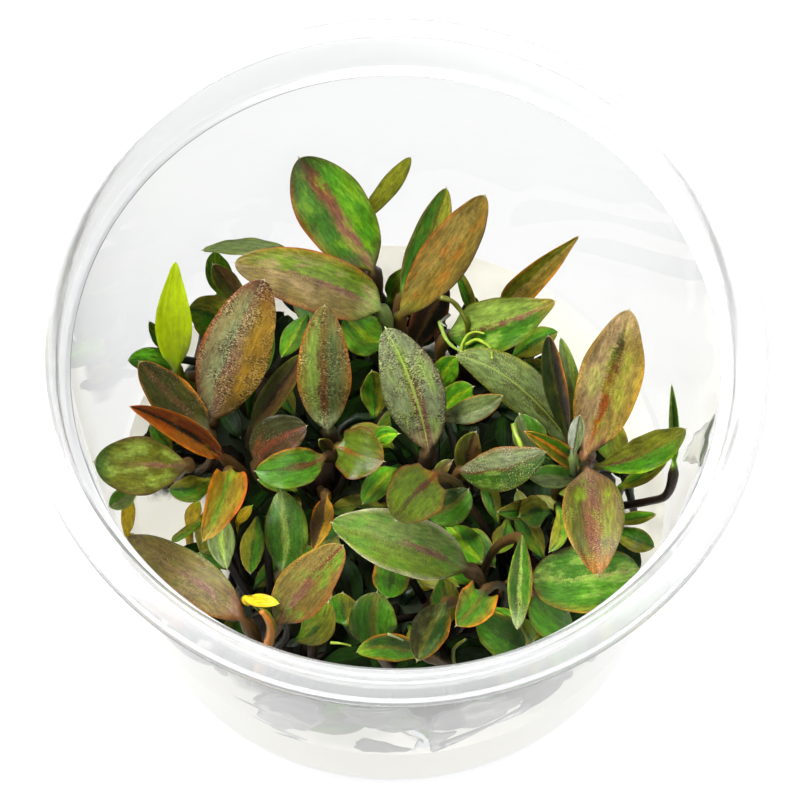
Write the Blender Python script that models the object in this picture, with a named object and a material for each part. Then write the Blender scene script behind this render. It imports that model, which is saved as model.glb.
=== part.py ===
"""A dwarf water trumpet plant growing on a bed of gel in a round, clear plastic culture cup.

The cup stands on z = 0 with its axis on +Z, and the picture's viewer is on the -Y side.
Every size below is in millimetres; the meshes are built in metres.
"""
import math
from typing import NamedTuple

import bmesh
import bpy
from mathutils import Matrix, Vector

MM = 0.001
GAP = 0.3

# The cup: a foot ring, a wall that widens upwards, a ledge below the mouth and a rolled rim
CUP_SIDES = 48
FOOT_RECESS = 0.7
FOOT_INNER_RADIUS = 37.5
FOOT_OUTER_RADIUS = 40.2
BASE_RADIUS = 41.3
BASE_CORNER_HEIGHT = 1.6
FLOOR_TOP = 1.6
FLOOR_CORNER = 1.2
WALL = 0.9
LEDGE_HEIGHT = 66.5
MOUTH_RADIUS = 46.0
LEDGE_RADIUS = 47.5
LEDGE_RISE = 0.4
RIM_HEIGHT = 73.8
RIM_FLAT_INNER_RADIUS = 48.7
RIM_FLAT_OUTER_RADIUS = 49.9
RIM_INNER_CORNER = (0.6, 0.7)
RIM_OUTER_CORNER = (1.3, 1.2)
RIM_UNDERSIDE_IN = 0.5
RIM_UNDERSIDE_DROP = 1.2
RIM_OUTER_RADIUS = 52.7
RIM_SHOULDER_HEIGHT = 71.9
SKIRT_HEIGHT = 69.9
SKIRT_WALL = 0.7
SKIRT_CORNER = (0.2, 0.4)

# The gel fills the bottom of the cup and creeps a little up the wall
GEL_TOP = 17.7
GEL_CREEP = 0.9
GEL_CREEP_WIDTH = 3.0
GEL_CREEP_BEND = 0.3
GEL_CORNER = 1.3

# A crown is the short thick stem that a plantlet's leaves grow from
CROWN_SIDES = 8
CROWN_RINGS = ((0.0, 2.5), (0.7, 3.0), (3.0, 2.9), (5.3, 2.5), (6.6, 1.4))
CROWN_SEAT_TIERS = (1, 2)
CROWN_TIP = 7.2
TIER_COST = 0.02
CROWNS = {
    "back": (1.0, 20.0),
    "backright": (12.0, 20.5),
    "centreleft": (-11.0, 1.5),
    "left": (-25.5, 2.5),
    "backleft": (-21.5, 14.5),
    "right": (31.0, -2.5),
    "centre": (6.5, -1.5),
    "frontleft": (-18.0, -23.0),
    "front": (7.5, -21.0),
    "frontright": (20.5, -14.5),
}

# Leaf stalks and blades
STALK_RADIUS = 0.55
STALK_STEPS = (0.0, 0.33, 0.68)
STALK_START_PULL = 0.35
STALK_END_PULL = 0.4
STALK_STANDOFF = 0.9
STALK_START_CLIMB = 0.8
TINY = 0.01
BLADE_STEPS = (0.0, 0.07, 0.2, 0.36, 0.54, 0.72, 0.88)
RIB_ABOVE = 0.24
RIB_BELOW = 0.36
RIB_TAPER = 0.6
LOBE_REACH = 0.4

# Leaf faces turn towards this point above and before the cup, where most light comes from
LIGHT_POINT = Vector((0.0, -230.0, 585.0))

GREEN = (0.10, 0.30, 0.03, 1.0)
DARK_GREEN = (0.04, 0.12, 0.02, 1.0)
LIME = (0.45, 0.60, 0.02, 1.0)
BRONZE = (0.26, 0.17, 0.06, 1.0)
RUST = (0.45, 0.16, 0.03, 1.0)
CLEAR_PLASTIC = (0.95, 0.96, 0.96, 1.0)
CREAM = (0.93, 0.90, 0.80, 1.0)
LEAF_ROUGHNESS = 0.35
PLASTIC_ROUGHNESS = 0.15
PLASTIC_TRANSMISSION = 0.9
GEL_ROUGHNESS = 0.3
SHARP_ANGLE = math.radians(35)


class Leaf(NamedTuple):
    """One leaf: its crown, three points along its midrib, its width and its form."""

    name: str
    crown: str
    base: tuple
    middle: tuple
    tip: tuple
    width: float
    widest: float = 0.48
    blunt: float = 0.6
    cup: float = 0.0
    roll: float = 0.0
    lobe: float = 0.0
    lift: float = 0.0
    bow: float = 0.0
    colour: tuple = GREEN


LEAVES = (
    Leaf("leaf_back_broad", "back", (-4, 29, 37), (-9.5, 34, 45), (-15, 39.5, 52), 11.0,
         widest=0.52, blunt=0.5, cup=8, bow=-1),
    Leaf("leaf_back_narrow", "back", (-6.5, 37.5, 34), (-2, 40, 41), (1.5, 42.5, 47), 3.0,
         widest=0.55, blunt=0.55, colour=DARK_GREEN),
    Leaf("leaf_back_level", "back", (-3, 20, 42), (-13, 21, 49), (-24, 22.5, 51), 9.0,
         widest=0.42, blunt=0.5, cup=8, colour=BRONZE),
    Leaf("leaf_back_middle", "back", (1, 27, 32), (4.5, 32.5, 39), (7, 38, 46), 5.5,
         blunt=0.55, cup=12),
    Leaf("leaf_back_rust", "back", (1, 21, 38), (7.5, 26, 49), (12.5, 30.5, 59), 7.5,
         cup=10, colour=RUST),
    Leaf("leaf_back_dark", "back", (2.5, 20.5, 27), (5, 23, 33), (7.5, 25.5, 38), 5.0, lift=3,
         colour=DARK_GREEN),
    Leaf("leaf_backright_twisted", "backright", (8.5, 17.5, 38), (15.5, 15.5, 47), (23, 16, 54), 8.5,
         widest=0.4, blunt=0.8, cup=8, lift=-3),
    Leaf("leaf_backright_slender", "backright", (16, 24, 34), (21.5, 26, 43), (26.5, 27.5, 52), 4.5,
         widest=0.3, blunt=0.8, cup=15, colour=BRONZE),
    Leaf("leaf_middle_speckled", "centreleft", (-10, 2, 39), (-10.5, 7, 49), (-10.5, 13.5, 56), 8.0,
         widest=0.42, blunt=0.55, cup=-6, bow=-2, colour=BRONZE),
    Leaf("leaf_middle_brown", "centreleft", (-20, -2.5, 36), (-17.5, -1, 40), (-13, 0.5, 42), 7.0,
         blunt=0.5, colour=BRONZE),
    Leaf("leaf_middle_edged", "centreleft", (-10.5, -5, 43), (-15, -8, 46), (-20, -8.5, 46), 6.0,
         cup=12, bow=-2),
    Leaf("leaf_middle_kidney", "centreleft", (-7.5, -3, 42), (-5, -5, 45), (-1.5, -6.5, 46), 8.0,
         blunt=0.5, cup=10, lobe=0.2, bow=-1),
    Leaf("leaf_middle_yellowing", "centreleft", (-10, -6.5, 31), (-10.5, -12, 35),
         (-11.5, -17, 37), 3.5, blunt=0.7, cup=20, colour=BRONZE),
    Leaf("leaf_left_lime", "backleft", (-33, 12.5, 36), (-33, 15.5, 46), (-32.5, 20, 56), 5.5,
         widest=0.42, blunt=0.75, cup=8, colour=LIME),
    Leaf("leaf_left_speckled", "left", (-27, 4, 37), (-23.5, 10.5, 47), (-19.5, 17.5, 56), 10.5,
         widest=0.45, blunt=0.55, cup=-6, lift=-1, bow=-2, colour=BRONZE),
    Leaf("leaf_left_outer", "backleft", (-32, 12, 33), (-36, 12, 38), (-39.5, 10.5, 42), 4.5,
         lift=-4, bow=2, colour=DARK_GREEN),
    Leaf("leaf_left_olive", "left", (-28, 2.5, 35), (-33, 5, 41), (-37.5, 7.5, 48), 6.5,
         blunt=0.55, cup=12, bow=3, colour=DARK_GREEN),
    Leaf("leaf_left_folded", "left", (-25.5, -3, 38), (-32, -2.5, 48), (-38, -3, 56), 6.5,
         cup=52, bow=-3, colour=RUST),
    Leaf("leaf_left_wide", "left", (-30.5, -9.5, 50), (-36.5, -13, 58), (-42, -15, 64), 8.5,
         widest=0.52, blunt=0.5, cup=6, bow=4, colour=BRONZE),
    Leaf("leaf_left_edged", "left", (-24, -7, 41), (-24.5, -13.5, 47), (-27, -21, 50), 6.5,
         widest=0.45, blunt=0.5, cup=32),
    Leaf("leaf_left_thin", "backleft", (-15, 29, 40), (-21.5, 28.5, 44), (-29, 27, 46), 4.0,
         blunt=0.7, roll=45, bow=1, colour=DARK_GREEN),
    Leaf("leaf_right_hanging", "right", (26, 0.5, 38), (17.5, 5.5, 48), (9, 7.5, 53), 7.5,
         widest=0.45, blunt=0.65, cup=-24, lift=-7, bow=-3),
    Leaf("leaf_right_dark", "right", (26, 2, 36), (23.5, 5.5, 47), (22, 8.5, 58), 4.0,
         cup=-30, colour=DARK_GREEN),
    Leaf("leaf_right_grey", "right", (27, 3.5, 34), (26, 7, 44), (24, 10, 54), 3.0,
         cup=15),
    Leaf("leaf_right_broad", "right", (29, 0.5, 35), (31.5, 6.5, 48), (33.5, 12, 60), 9.5,
         cup=8, colour=BRONZE),
    Leaf("leaf_right_wavy", "right", (30, -3, 37), (36.5, -4.5, 46), (42, -3.5, 53), 5.5,
         widest=0.58, blunt=0.7, cup=12, bow=4),
    Leaf("leaf_right_rolled", "right", (41.5, -3, 38), (41, 0.5, 45), (40, 2.5, 55), 3.0,
         cup=58, colour=DARK_GREEN),
    Leaf("leaf_right_front", "right", (28.5, -7.5, 45), (29, -16.5, 50), (29.5, -25, 50), 9.0,
         widest=0.42, cup=6, lift=5, bow=-1, colour=BRONZE),
    Leaf("leaf_right_folded", "right", (27.5, -3.5, 38), (23.5, -3.5, 45), (19, -3.5, 51), 4.5,
         cup=50, lift=-2, bow=3, colour=RUST),
    Leaf("leaf_centre_speckled", "centre", (5, -1, 39), (2.5, 4.5, 48), (-1.5, 11, 54), 9.0,
         widest=0.45, blunt=0.55, cup=-6, colour=BRONZE),
    Leaf("leaf_centre_round", "centre", (5.5, -11, 51), (3, -16, 56), (0.5, -20.5, 58), 8.5,
         widest=0.45, blunt=0.5, cup=8, lobe=0.12, bow=-4),
    Leaf("leaf_centre_striped", "centre", (7.5, 4, 38), (12, 3, 44), (15.5, 2, 51), 4.0,
         widest=0.4, blunt=0.7, cup=-15, bow=-2),
    Leaf("leaf_centre_bright", "centre", (5.5, -11.5, 38), (8.5, -11.5, 41), (11, -9.5, 43), 5.5,
         blunt=0.55, lift=2),
    Leaf("leaf_frontleft_large", "frontleft", (-21.5, -29.5, 41), (-29.5, -23.5, 42),
         (-39, -15.5, 36), 7.0, blunt=0.55, colour=BRONZE),
    Leaf("leaf_frontleft_bronze", "frontleft", (-16, -29.5, 41), (-12, -27, 49), (-7, -23, 54), 7.5,
         widest=0.45, blunt=0.5, cup=8, lift=5, colour=BRONZE),
    Leaf("leaf_frontleft_green", "frontleft", (-16, -19.5, 35), (-15.5, -15, 39), (-16.5, -9.5, 41), 6.5,
         cup=-6),
    Leaf("leaf_frontleft_grey", "frontleft", (-25, -11, 36), (-25, -16.5, 38), (-24, -21, 39), 4.0,
         blunt=0.7),
    Leaf("leaf_front_large", "front", (10.5, -22, 44), (1, -21, 51), (-8.5, -19.5, 54), 9.0,
         widest=0.45, cup=8, bow=3),
    Leaf("leaf_front_shaded", "front", (0, -17, 37), (0, -22.5, 41), (-0.5, -26.5, 43), 5.5,
         blunt=0.5),
    Leaf("leaf_front_round", "front", (-2, -33, 41), (-2.5, -30.5, 44), (-2, -27, 46), 7.0,
         blunt=0.5),
    Leaf("leaf_front_low", "front", (4.5, -35.5, 44), (0, -36, 48), (-4.5, -37.5, 50), 4.0),
    Leaf("leaf_front_olive", "front", (7.5, -27, 41), (5.5, -33, 46), (4, -38.5, 50), 5.5,
         blunt=0.55, cup=14, lift=6, bow=-3, colour=DARK_GREEN),
    Leaf("leaf_front_heart", "front", (13, -27, 46), (11.5, -30.5, 49), (9.5, -33.5, 51), 6.0,
         widest=0.4, blunt=0.5, cup=22, lobe=0.3, lift=6, bow=-3),
    Leaf("leaf_front_corner", "front", (13, -27, 36), (16.5, -31.5, 41), (19.5, -34, 44), 6.0,
         blunt=0.5, lift=1, colour=DARK_GREEN),
    Leaf("leaf_frontright_upright", "frontright", (19, -16.5, 41), (18.5, -26, 48), (18, -34.5, 53), 3.5,
         cup=-8, lift=6, bow=4),
    Leaf("leaf_frontright_wide", "frontright", (20.5, -22.5, 41), (29, -21, 38), (36.5, -17.5, 33), 10.0,
         widest=0.45, blunt=0.5),
    Leaf("leaf_frontright_low", "frontright", (21, -22.5, 34), (24, -25, 31), (27, -25, 27), 6.0,
         blunt=0.55),
    Leaf("leaf_frontright_freckled", "frontright", (10.5, -4.5, 38), (16, -6.5, 44), (22, -5, 47), 6.5,
         widest=0.45, blunt=0.55, cup=-6),
)

# Small young leaves are drawn out of the crown itself and have no name of their own
YOUNG_LEAVES = (
    Leaf("", "backright", (11.5, 23.5, 33), (10.5, 24.5, 38), (9, 27, 41), 2.0),
    Leaf("", "back", (-1, 27, 30), (0, 27.5, 34), (1.5, 29, 37), 3.5, lift=-4, bow=1),
    Leaf("", "back", (-2, 17, 36), (-5, 16.5, 40), (-7.5, 18.5, 42), 6.5),
    Leaf("", "centreleft", (-2.5, 0.5, 37), (-1.5, 0.5, 39), (0.5, 0, 41), 3.0),
    Leaf("", "centreleft", (-21.5, 4.5, 31), (-17.5, 8, 38), (-14, 11, 44), 4.0),
    Leaf("", "centreleft", (-3, 9, 27), (-3, 11, 31), (-3.5, 12.5, 35), 4.5, bow=-4),
    Leaf("", "backleft", (-14, 22.5, 32), (-15.5, 17.5, 36), (-17, 13.5, 38), 3.5),
    Leaf("", "centreleft", (-8.5, -0.5, 34), (-10, -0.5, 37), (-11, -0.5, 39), 2.0, bow=-3),
    Leaf("", "backleft", (-24, 18, 34), (-27.5, 19.5, 38), (-31, 19, 42), 7.0, lift=-6, bow=1),
    Leaf("", "backleft", (-25.5, 25, 33), (-27, 27, 38), (-27.5, 28.5, 42), 4.0, lift=-1),
    Leaf("", "backleft", (-22.5, 21.5, 38), (-25.5, 23.5, 42), (-27.5, 25, 45), 3.5),
    Leaf("", "left", (-27.5, -5, 33), (-30, -7.5, 36), (-33, -8, 37), 4.0),
    Leaf("", "left", (-37.5, -10, 42), (-39.5, -13, 45), (-41, -14.5, 46), 3.0),
    Leaf("", "backleft", (-35, 17.5, 30), (-36, 18, 34), (-37, 18.5, 38), 2.0),
    Leaf("", "left", (-33.5, 0, 34), (-34.5, 0, 38), (-36, 1, 40), 3.0),
    Leaf("", "backleft", (-21.5, 12, 31), (-20, 15, 36), (-19.5, 19, 38), 3.5),
    Leaf("", "right", (27, -4.5, 36), (23.5, -5.5, 39), (20, -6, 40), 3.5),
    Leaf("", "right", (32.5, -11.5, 37), (35.5, -13, 42), (38, -14, 46), 2.0, bow=1),
    Leaf("", "right", (33, -12, 34), (36, -14.5, 37), (38.5, -15.5, 37), 3.5),
    Leaf("", "right", (34, -4.5, 33), (37, -4.5, 38), (40, -4, 42), 2.5, bow=1),
    Leaf("", "right", (22, -1.5, 36), (20, 0.5, 40), (18.5, 3, 42), 5.0),
    Leaf("", "centre", (7.5, 9, 30), (9.5, 9.5, 34), (11.5, 9.5, 37), 4.0),
    Leaf("", "centre", (6.5, 11.5, 32), (7.5, 12, 37), (9, 12.5, 41), 4.0, lift=-1),
    Leaf("", "centre", (11, -3, 32), (11, -1.5, 38), (12, 0, 42), 4.0),
    Leaf("", "centre", (6.5, -8.5, 44), (7, -8, 47), (8.5, -7, 48), 2.0),
    Leaf("", "frontleft", (-20, -11.5, 34), (-20.5, -17.5, 38), (-20.5, -22, 40), 3.5),
    Leaf("", "frontleft", (-16, -30, 44), (-18, -30, 47), (-20, -29.5, 48), 2.0),
    Leaf("", "frontleft", (-17.5, -33.5, 40), (-17, -32.5, 46), (-18.5, -31, 49), 1.5),
    Leaf("", "frontleft", (-13, -31, 37), (-10.5, -30.5, 41), (-9, -28, 44), 5.0),
    Leaf("", "frontleft", (-28.5, -11, 32), (-30.5, -13.5, 34), (-32.5, -15, 34), 1.5, bow=-1),
    Leaf("", "front", (8.5, -11, 32), (11, -16, 37), (13, -19.5, 40), 5.0),
    Leaf("", "front", (7.5, -26.5, 31), (8, -24, 35), (7.5, -21.5, 38), 4.5),
    Leaf("", "front", (-6.5, -28, 36), (-7, -26.5, 38), (-7, -25, 40), 5.0),
    Leaf("", "frontright", (22, -7.5, 33), (19, -10.5, 38), (15.5, -12.5, 42), 3.0, lift=-5),
    Leaf("", "frontright", (17, -10, 31), (16.5, -13.5, 34), (15.5, -16.5, 36), 3.5),
    Leaf("", "frontright", (15.5, -26, 37), (17, -28, 40), (18.5, -30.5, 42), 2.0),
    Leaf("", "frontright", (24.5, -11, 39), (24.5, -15.5, 42), (23, -18.5, 42), 2.5),
    Leaf("", "frontright", (23, -7, 29), (21, -8, 31), (19, -9.5, 33), 5.0, lift=2),
)


def clear_scene():
    """Remove whatever the scene holds before building."""
    for item in list(bpy.data.objects):
        bpy.data.objects.remove(item, do_unlink=True)


def make_material(name, colour, roughness, see_through=0.0):
    """A plain Principled material."""
    material = bpy.data.materials.new(name)
    material.use_nodes = True
    shader = material.node_tree.nodes["Principled BSDF"]
    shader.inputs["Base Color"].default_value = colour
    shader.inputs["Roughness"].default_value = roughness
    shader.inputs["Metallic"].default_value = 0.0
    shader.inputs["Transmission Weight"].default_value = see_through
    return material


def add_object(name, mesh_builder, material):
    """Turn a bmesh in millimetres into a named object in metres."""
    bmesh.ops.recalc_face_normals(mesh_builder, faces=mesh_builder.faces)
    bmesh.ops.scale(mesh_builder, vec=(MM, MM, MM), verts=mesh_builder.verts)
    mesh = bpy.data.meshes.new(name)
    mesh_builder.to_mesh(mesh)
    mesh_builder.free()
    mesh.materials.append(material)
    mesh.shade_smooth()
    mesh.set_sharp_from_angle(angle=SHARP_ANGLE)
    item = bpy.data.objects.new(name, mesh)
    bpy.context.scene.collection.objects.link(item)
    return item


def inner_radius(height):
    """The wall's inner radius at a height above the cup's floor."""
    climb = (height - FLOOR_TOP) / (LEDGE_HEIGHT - FLOOR_TOP)
    start = BASE_RADIUS - WALL
    return start + (MOUTH_RADIUS - start) * climb


def cup_profile():
    """The cup's cut from the axis under the foot, round the outside and back along the inside."""
    wall_top = LEDGE_HEIGHT - WALL
    skirt_inner = RIM_OUTER_RADIUS - SKIRT_WALL
    return (
        (0.0, FOOT_RECESS),
        (FOOT_INNER_RADIUS - FOOT_RECESS, FOOT_RECESS),
        (FOOT_INNER_RADIUS, 0.0),
        (FOOT_OUTER_RADIUS, 0.0),
        (BASE_RADIUS, BASE_CORNER_HEIGHT),
        (MOUTH_RADIUS + WALL, wall_top),
        (LEDGE_RADIUS + WALL, wall_top + LEDGE_RISE),
        (RIM_FLAT_INNER_RADIUS + RIM_UNDERSIDE_IN, RIM_HEIGHT - RIM_UNDERSIDE_DROP),
        (skirt_inner - SKIRT_CORNER[0], RIM_SHOULDER_HEIGHT - SKIRT_CORNER[1]),
        (skirt_inner, SKIRT_HEIGHT),
        (RIM_OUTER_RADIUS, SKIRT_HEIGHT),
        (RIM_OUTER_RADIUS, RIM_SHOULDER_HEIGHT),
        (RIM_OUTER_RADIUS - RIM_OUTER_CORNER[0], RIM_SHOULDER_HEIGHT + RIM_OUTER_CORNER[1]),
        (RIM_FLAT_OUTER_RADIUS, RIM_HEIGHT),
        (RIM_FLAT_INNER_RADIUS, RIM_HEIGHT),
        (RIM_FLAT_INNER_RADIUS - RIM_INNER_CORNER[0], RIM_HEIGHT - RIM_INNER_CORNER[1]),
        (LEDGE_RADIUS, LEDGE_HEIGHT + LEDGE_RISE),
        (MOUTH_RADIUS, LEDGE_HEIGHT),
        (inner_radius(FLOOR_TOP + FLOOR_CORNER), FLOOR_TOP + FLOOR_CORNER),
        (inner_radius(FLOOR_TOP) - FLOOR_CORNER, FLOOR_TOP),
        (0.0, FLOOR_TOP),
    )


def gel_profile():
    """The gel's cut, a gap away from the cup's floor and wall all round."""
    bottom = FLOOR_TOP + GAP
    top = GEL_TOP + GEL_CREEP
    return (
        (0.0, bottom),
        (inner_radius(FLOOR_TOP) - FLOOR_CORNER - GAP, bottom),
        (inner_radius(bottom + GEL_CORNER) - GAP, bottom + GEL_CORNER),
        (inner_radius(top) - GAP, top),
        (inner_radius(top) - GEL_CREEP_BEND * GEL_CREEP_WIDTH, GEL_TOP + GEL_CREEP_BEND * GEL_CREEP),
        (inner_radius(top) - GEL_CREEP_WIDTH, GEL_TOP),
        (0.0, GEL_TOP),
    )


def turn_profile(profile):
    """Spin a closed cut that starts and ends on the axis into a solid."""
    solid = bmesh.new()
    rings = []
    for radius, height in profile:
        if radius == 0.0:
            rings.append([solid.verts.new((0.0, 0.0, height))] * CUP_SIDES)
            continue
        ring = []
        for side in range(CUP_SIDES):
            turn = 2.0 * math.pi * side / CUP_SIDES
            ring.append(solid.verts.new((radius * math.cos(turn), radius * math.sin(turn), height)))
        rings.append(ring)
    for lower, upper in zip(rings, rings[1:]):
        for side in range(CUP_SIDES):
            after = (side + 1) % CUP_SIDES
            corners = [lower[side], lower[after], upper[after], upper[side]]
            solid.faces.new(list(dict.fromkeys(corners)))
    return solid


def crown_ring_points(crown):
    """The crown's stacked rings of corner points, bottom to top."""
    centre_x, centre_y = CROWNS[crown]
    rings = []
    for height, radius in CROWN_RINGS:
        ring = []
        for side in range(CROWN_SIDES):
            turn = 2.0 * math.pi * (side + 0.5) / CROWN_SIDES
            ring.append(Vector((
                centre_x + radius * math.cos(turn),
                centre_y + radius * math.sin(turn),
                GEL_TOP + GAP + height)))
        rings.append(ring)
    return rings


def crown_seats(crown):
    """Where leaves may start: each side face of the crown's seat tiers, as its four corners."""
    rings = crown_ring_points(crown)
    seats = {}
    for tier in CROWN_SEAT_TIERS:
        for side in range(CROWN_SIDES):
            after = (side + 1) % CROWN_SIDES
            seats[(tier, after)] = [rings[tier][side], rings[tier][after],
                                    rings[tier + 1][after], rings[tier + 1][side]]
    return seats


def lifted(point, lift):
    """A point moved towards the light, which keeps its place among the leaves as seen from there."""
    spot = Vector(point)
    return spot + (LIGHT_POINT - spot).normalized() * lift


def midrib(leaf):
    """The blade's midrib as a quadratic curve through base, middle and tip."""
    base = lifted(leaf.base, leaf.lift)
    middle = lifted(leaf.middle, leaf.lift)
    tip = lifted(leaf.tip, leaf.lift)
    control = 2.0 * middle - 0.5 * (base + tip)

    def point(step):
        rest = 1.0 - step
        return rest * rest * base + 2.0 * rest * step * control + step * step * tip

    def direction(step):
        return (2.0 * (1.0 - step) * (control - base) + 2.0 * step * (tip - control)).normalized()

    return point, direction


def stalk(start, start_direction, base, blade_direction, bow):
    """The stalk's cubic curve from its seat on the crown to the blade's base."""
    reach = (base - start).length
    side = (base - start).cross(Vector((0.0, 0.0, 1.0)))
    side = side.normalized() if side.length > TINY else Vector((1.0, 0.0, 0.0))
    first = start + start_direction * reach * STALK_START_PULL + side * bow
    second = base - blade_direction * reach * STALK_END_PULL + side * bow

    def point(step):
        rest = 1.0 - step
        return (rest ** 3 * start + 3.0 * rest * rest * step * first
                + 3.0 * rest * step * step * second + step ** 3 * base)

    def direction(step):
        rest = 1.0 - step
        return (rest * rest * (first - start) + 2.0 * rest * step * (second - first)
                + step * step * (base - second)).normalized()

    return point, direction


def half_width(leaf, step):
    """Half the blade's width at a step along its midrib."""
    power = math.log(0.5) / math.log(leaf.widest)
    swell = math.sin(math.pi * step ** power) ** leaf.blunt if step > 0.0 else 0.0
    return max(STALK_RADIUS, 0.5 * leaf.width * swell)


def blade_ring(leaf, centre, along, face, step, length):
    """Left edge, upper rib, right edge and lower rib of the blade at one step."""
    across = along.cross(face)
    half = half_width(leaf, step)
    tilt = math.radians(leaf.cup) * min(1.0, step / BLADE_STEPS[1])
    sweep = 0.0
    if leaf.lobe and 0.0 < step < LOBE_REACH:
        sweep = leaf.lobe * length * (1.0 - step / LOBE_REACH) ** 2
    side = across * half * math.cos(tilt)
    rise = face * half * math.sin(tilt) - along * sweep
    thin = 1.0 - RIB_TAPER * step
    return [centre - side + rise, centre + face * RIB_ABOVE * thin,
            centre + side + rise, centre - face * RIB_BELOW * thin]


def stalk_ring(centre, along, face):
    """The four corners of the stalk's cut."""
    across = along.cross(face)
    return [centre - across * STALK_RADIUS, centre + face * STALK_RADIUS,
            centre + across * STALK_RADIUS, centre - face * STALK_RADIUS]


def leaf_rings(leaf, start, start_direction):
    """All rings of a leaf from its seat to its last station, and its tip."""
    rib, rib_direction = midrib(leaf)
    length = (rib(0.5) - rib(0.0)).length + (rib(1.0) - rib(0.5)).length
    blade = []
    base_face = None
    for step in BLADE_STEPS:
        centre = rib(step)
        along = rib_direction(step)
        face = LIGHT_POINT - centre
        face = (face - along * face.dot(along)).normalized()
        face = Matrix.Rotation(math.radians(leaf.roll), 3, along) @ face
        base_face = base_face or face
        blade.append(blade_ring(leaf, centre, along, face, step, length))
    stem, stem_direction = stalk(start, start_direction, rib(0.0), rib_direction(0.0), leaf.bow)
    rings = []
    face = base_face
    for step in reversed(STALK_STEPS):
        along = stem_direction(step)
        face = (face - along * face.dot(along)).normalized()
        rings.insert(0, stalk_ring(stem(step), along, face))
    return rings + blade, rib(1.0)


def deal_seats():
    """Give every leaf the free seat of its crown that points best towards it."""
    free = {crown: crown_seats(crown) for crown in CROWNS}
    dealt = []
    for leaf in LEAVES + YOUNG_LEAVES:
        centre_x, centre_y = CROWNS[leaf.crown]
        heading = Vector((leaf.base[0] - centre_x, leaf.base[1] - centre_y, 0.0))
        reach = heading.length

        def cost(seat):
            tier, side = seat
            turn = 2.0 * math.pi * side / CROWN_SIDES
            facing = Vector((math.cos(turn), math.sin(turn), 0.0))
            off = heading.angle(facing) if reach > TINY else 0.0
            return off + TIER_COST * reach * (tier - 1)

        seat = min(free[leaf.crown], key=cost)
        dealt.append((leaf, free[leaf.crown].pop(seat), seat))
    return dealt


def seat_frame(corners):
    """A seat's middle and the direction in which a leaf leaves it."""
    middle = sum(corners, Vector()) / len(corners)
    outward = (corners[1] - corners[0]).cross(corners[3] - corners[0]).normalized()
    return middle, (outward + Vector((0.0, 0.0, STALK_START_CLIMB))).normalized()


def join_rings(solid, rings):
    """Skin a row of four-point rings."""
    for lower, upper in zip(rings, rings[1:]):
        for corner in range(4):
            after = (corner + 1) % 4
            solid.faces.new([lower[corner], lower[after], upper[after], upper[corner]])


def close_tip(solid, ring, tip):
    """Close the last ring on the leaf's tip."""
    point = solid.verts.new(tip)
    for corner in range(4):
        solid.faces.new([ring[corner], ring[(corner + 1) % 4], point])


def leaf_solid(leaf, corners):
    """A leaf of its own, which starts a gap away from its seat."""
    middle, outward = seat_frame(corners)
    rings, tip = leaf_rings(leaf, middle + outward * STALK_STANDOFF, outward)
    solid = bmesh.new()
    placed = [[solid.verts.new(spot) for spot in ring] for ring in rings]
    solid.faces.new(placed[0])
    join_rings(solid, placed)
    close_tip(solid, placed[-1], tip)
    return solid


def best_start(corners, ring):
    """Turn a seat's corners so that they meet a ring's corners with the least twist."""
    options = [corners[turn:] + corners[:turn] for turn in range(4)]
    flipped = corners[::-1]
    options += [flipped[turn:] + flipped[:turn] for turn in range(4)]

    def twist(option):
        return sum((corner.co - spot).length for corner, spot in zip(option, ring))

    return min(options, key=twist)


def crown_solid(crown, dealt):
    """A crown with its young leaves drawn out of their seats."""
    solid = bmesh.new()
    rings = [[solid.verts.new(spot) for spot in ring] for ring in crown_ring_points(crown)]
    centre_x, centre_y = CROWNS[crown]
    top = solid.verts.new((centre_x, centre_y, GEL_TOP + GAP + CROWN_TIP))
    solid.faces.new(rings[0])
    taken = {}
    for leaf, corners, seat in dealt:
        if leaf.crown == crown and not leaf.name:
            taken[seat] = (leaf, corners)
    for tier, (lower, upper) in enumerate(zip(rings, rings[1:])):
        for side in range(CROWN_SIDES):
            after = (side + 1) % CROWN_SIDES
            face_corners = [lower[side], lower[after], upper[after], upper[side]]
            if (tier, after) not in taken:
                solid.faces.new(face_corners)
                continue
            leaf, corners = taken[(tier, after)]
            middle, outward = seat_frame(corners)
            points, tip = leaf_rings(leaf, middle + outward * STALK_STANDOFF, outward)
            placed = [[solid.verts.new(spot) for spot in ring] for ring in points]
            join_rings(solid, [best_start(face_corners, points[0])] + placed)
            close_tip(solid, placed[-1], tip)
    for side in range(CROWN_SIDES):
        solid.faces.new([rings[-1][side], rings[-1][(side + 1) % CROWN_SIDES], top])
    return solid


def build():
    """Build the cup, the gel, the crowns and the leaves."""
    clear_scene()
    plastic = make_material("clear_plastic", CLEAR_PLASTIC, PLASTIC_ROUGHNESS, PLASTIC_TRANSMISSION)
    add_object("cup", turn_profile(cup_profile()), plastic)
    add_object("nutrient_gel", turn_profile(gel_profile()), make_material("gel", CREAM, GEL_ROUGHNESS))
    dealt = deal_seats()
    crown_green = make_material("crown_green", DARK_GREEN, LEAF_ROUGHNESS)
    for crown in CROWNS:
        add_object("crown_" + crown, crown_solid(crown, dealt), crown_green)
    for leaf, corners, _ in dealt:
        if leaf.name:
            green = make_material(leaf.name, leaf.colour, LEAF_ROUGHNESS)
            add_object(leaf.name, leaf_solid(leaf, corners), green)


build()
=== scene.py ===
"""A dwarf water trumpet plant in a clear culture cup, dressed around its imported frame.

Lengths are in millimetres, and MM turns them into metres when a mesh is made. Only the floor and the
lights are given in metres. Every leaf is read back from its solid and built again as a fine blade.
"""
import math
from typing import NamedTuple

import bmesh
import bpy
import numpy as np
from mathutils import Matrix, Vector
from mathutils.bvhtree import BVHTree


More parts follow.
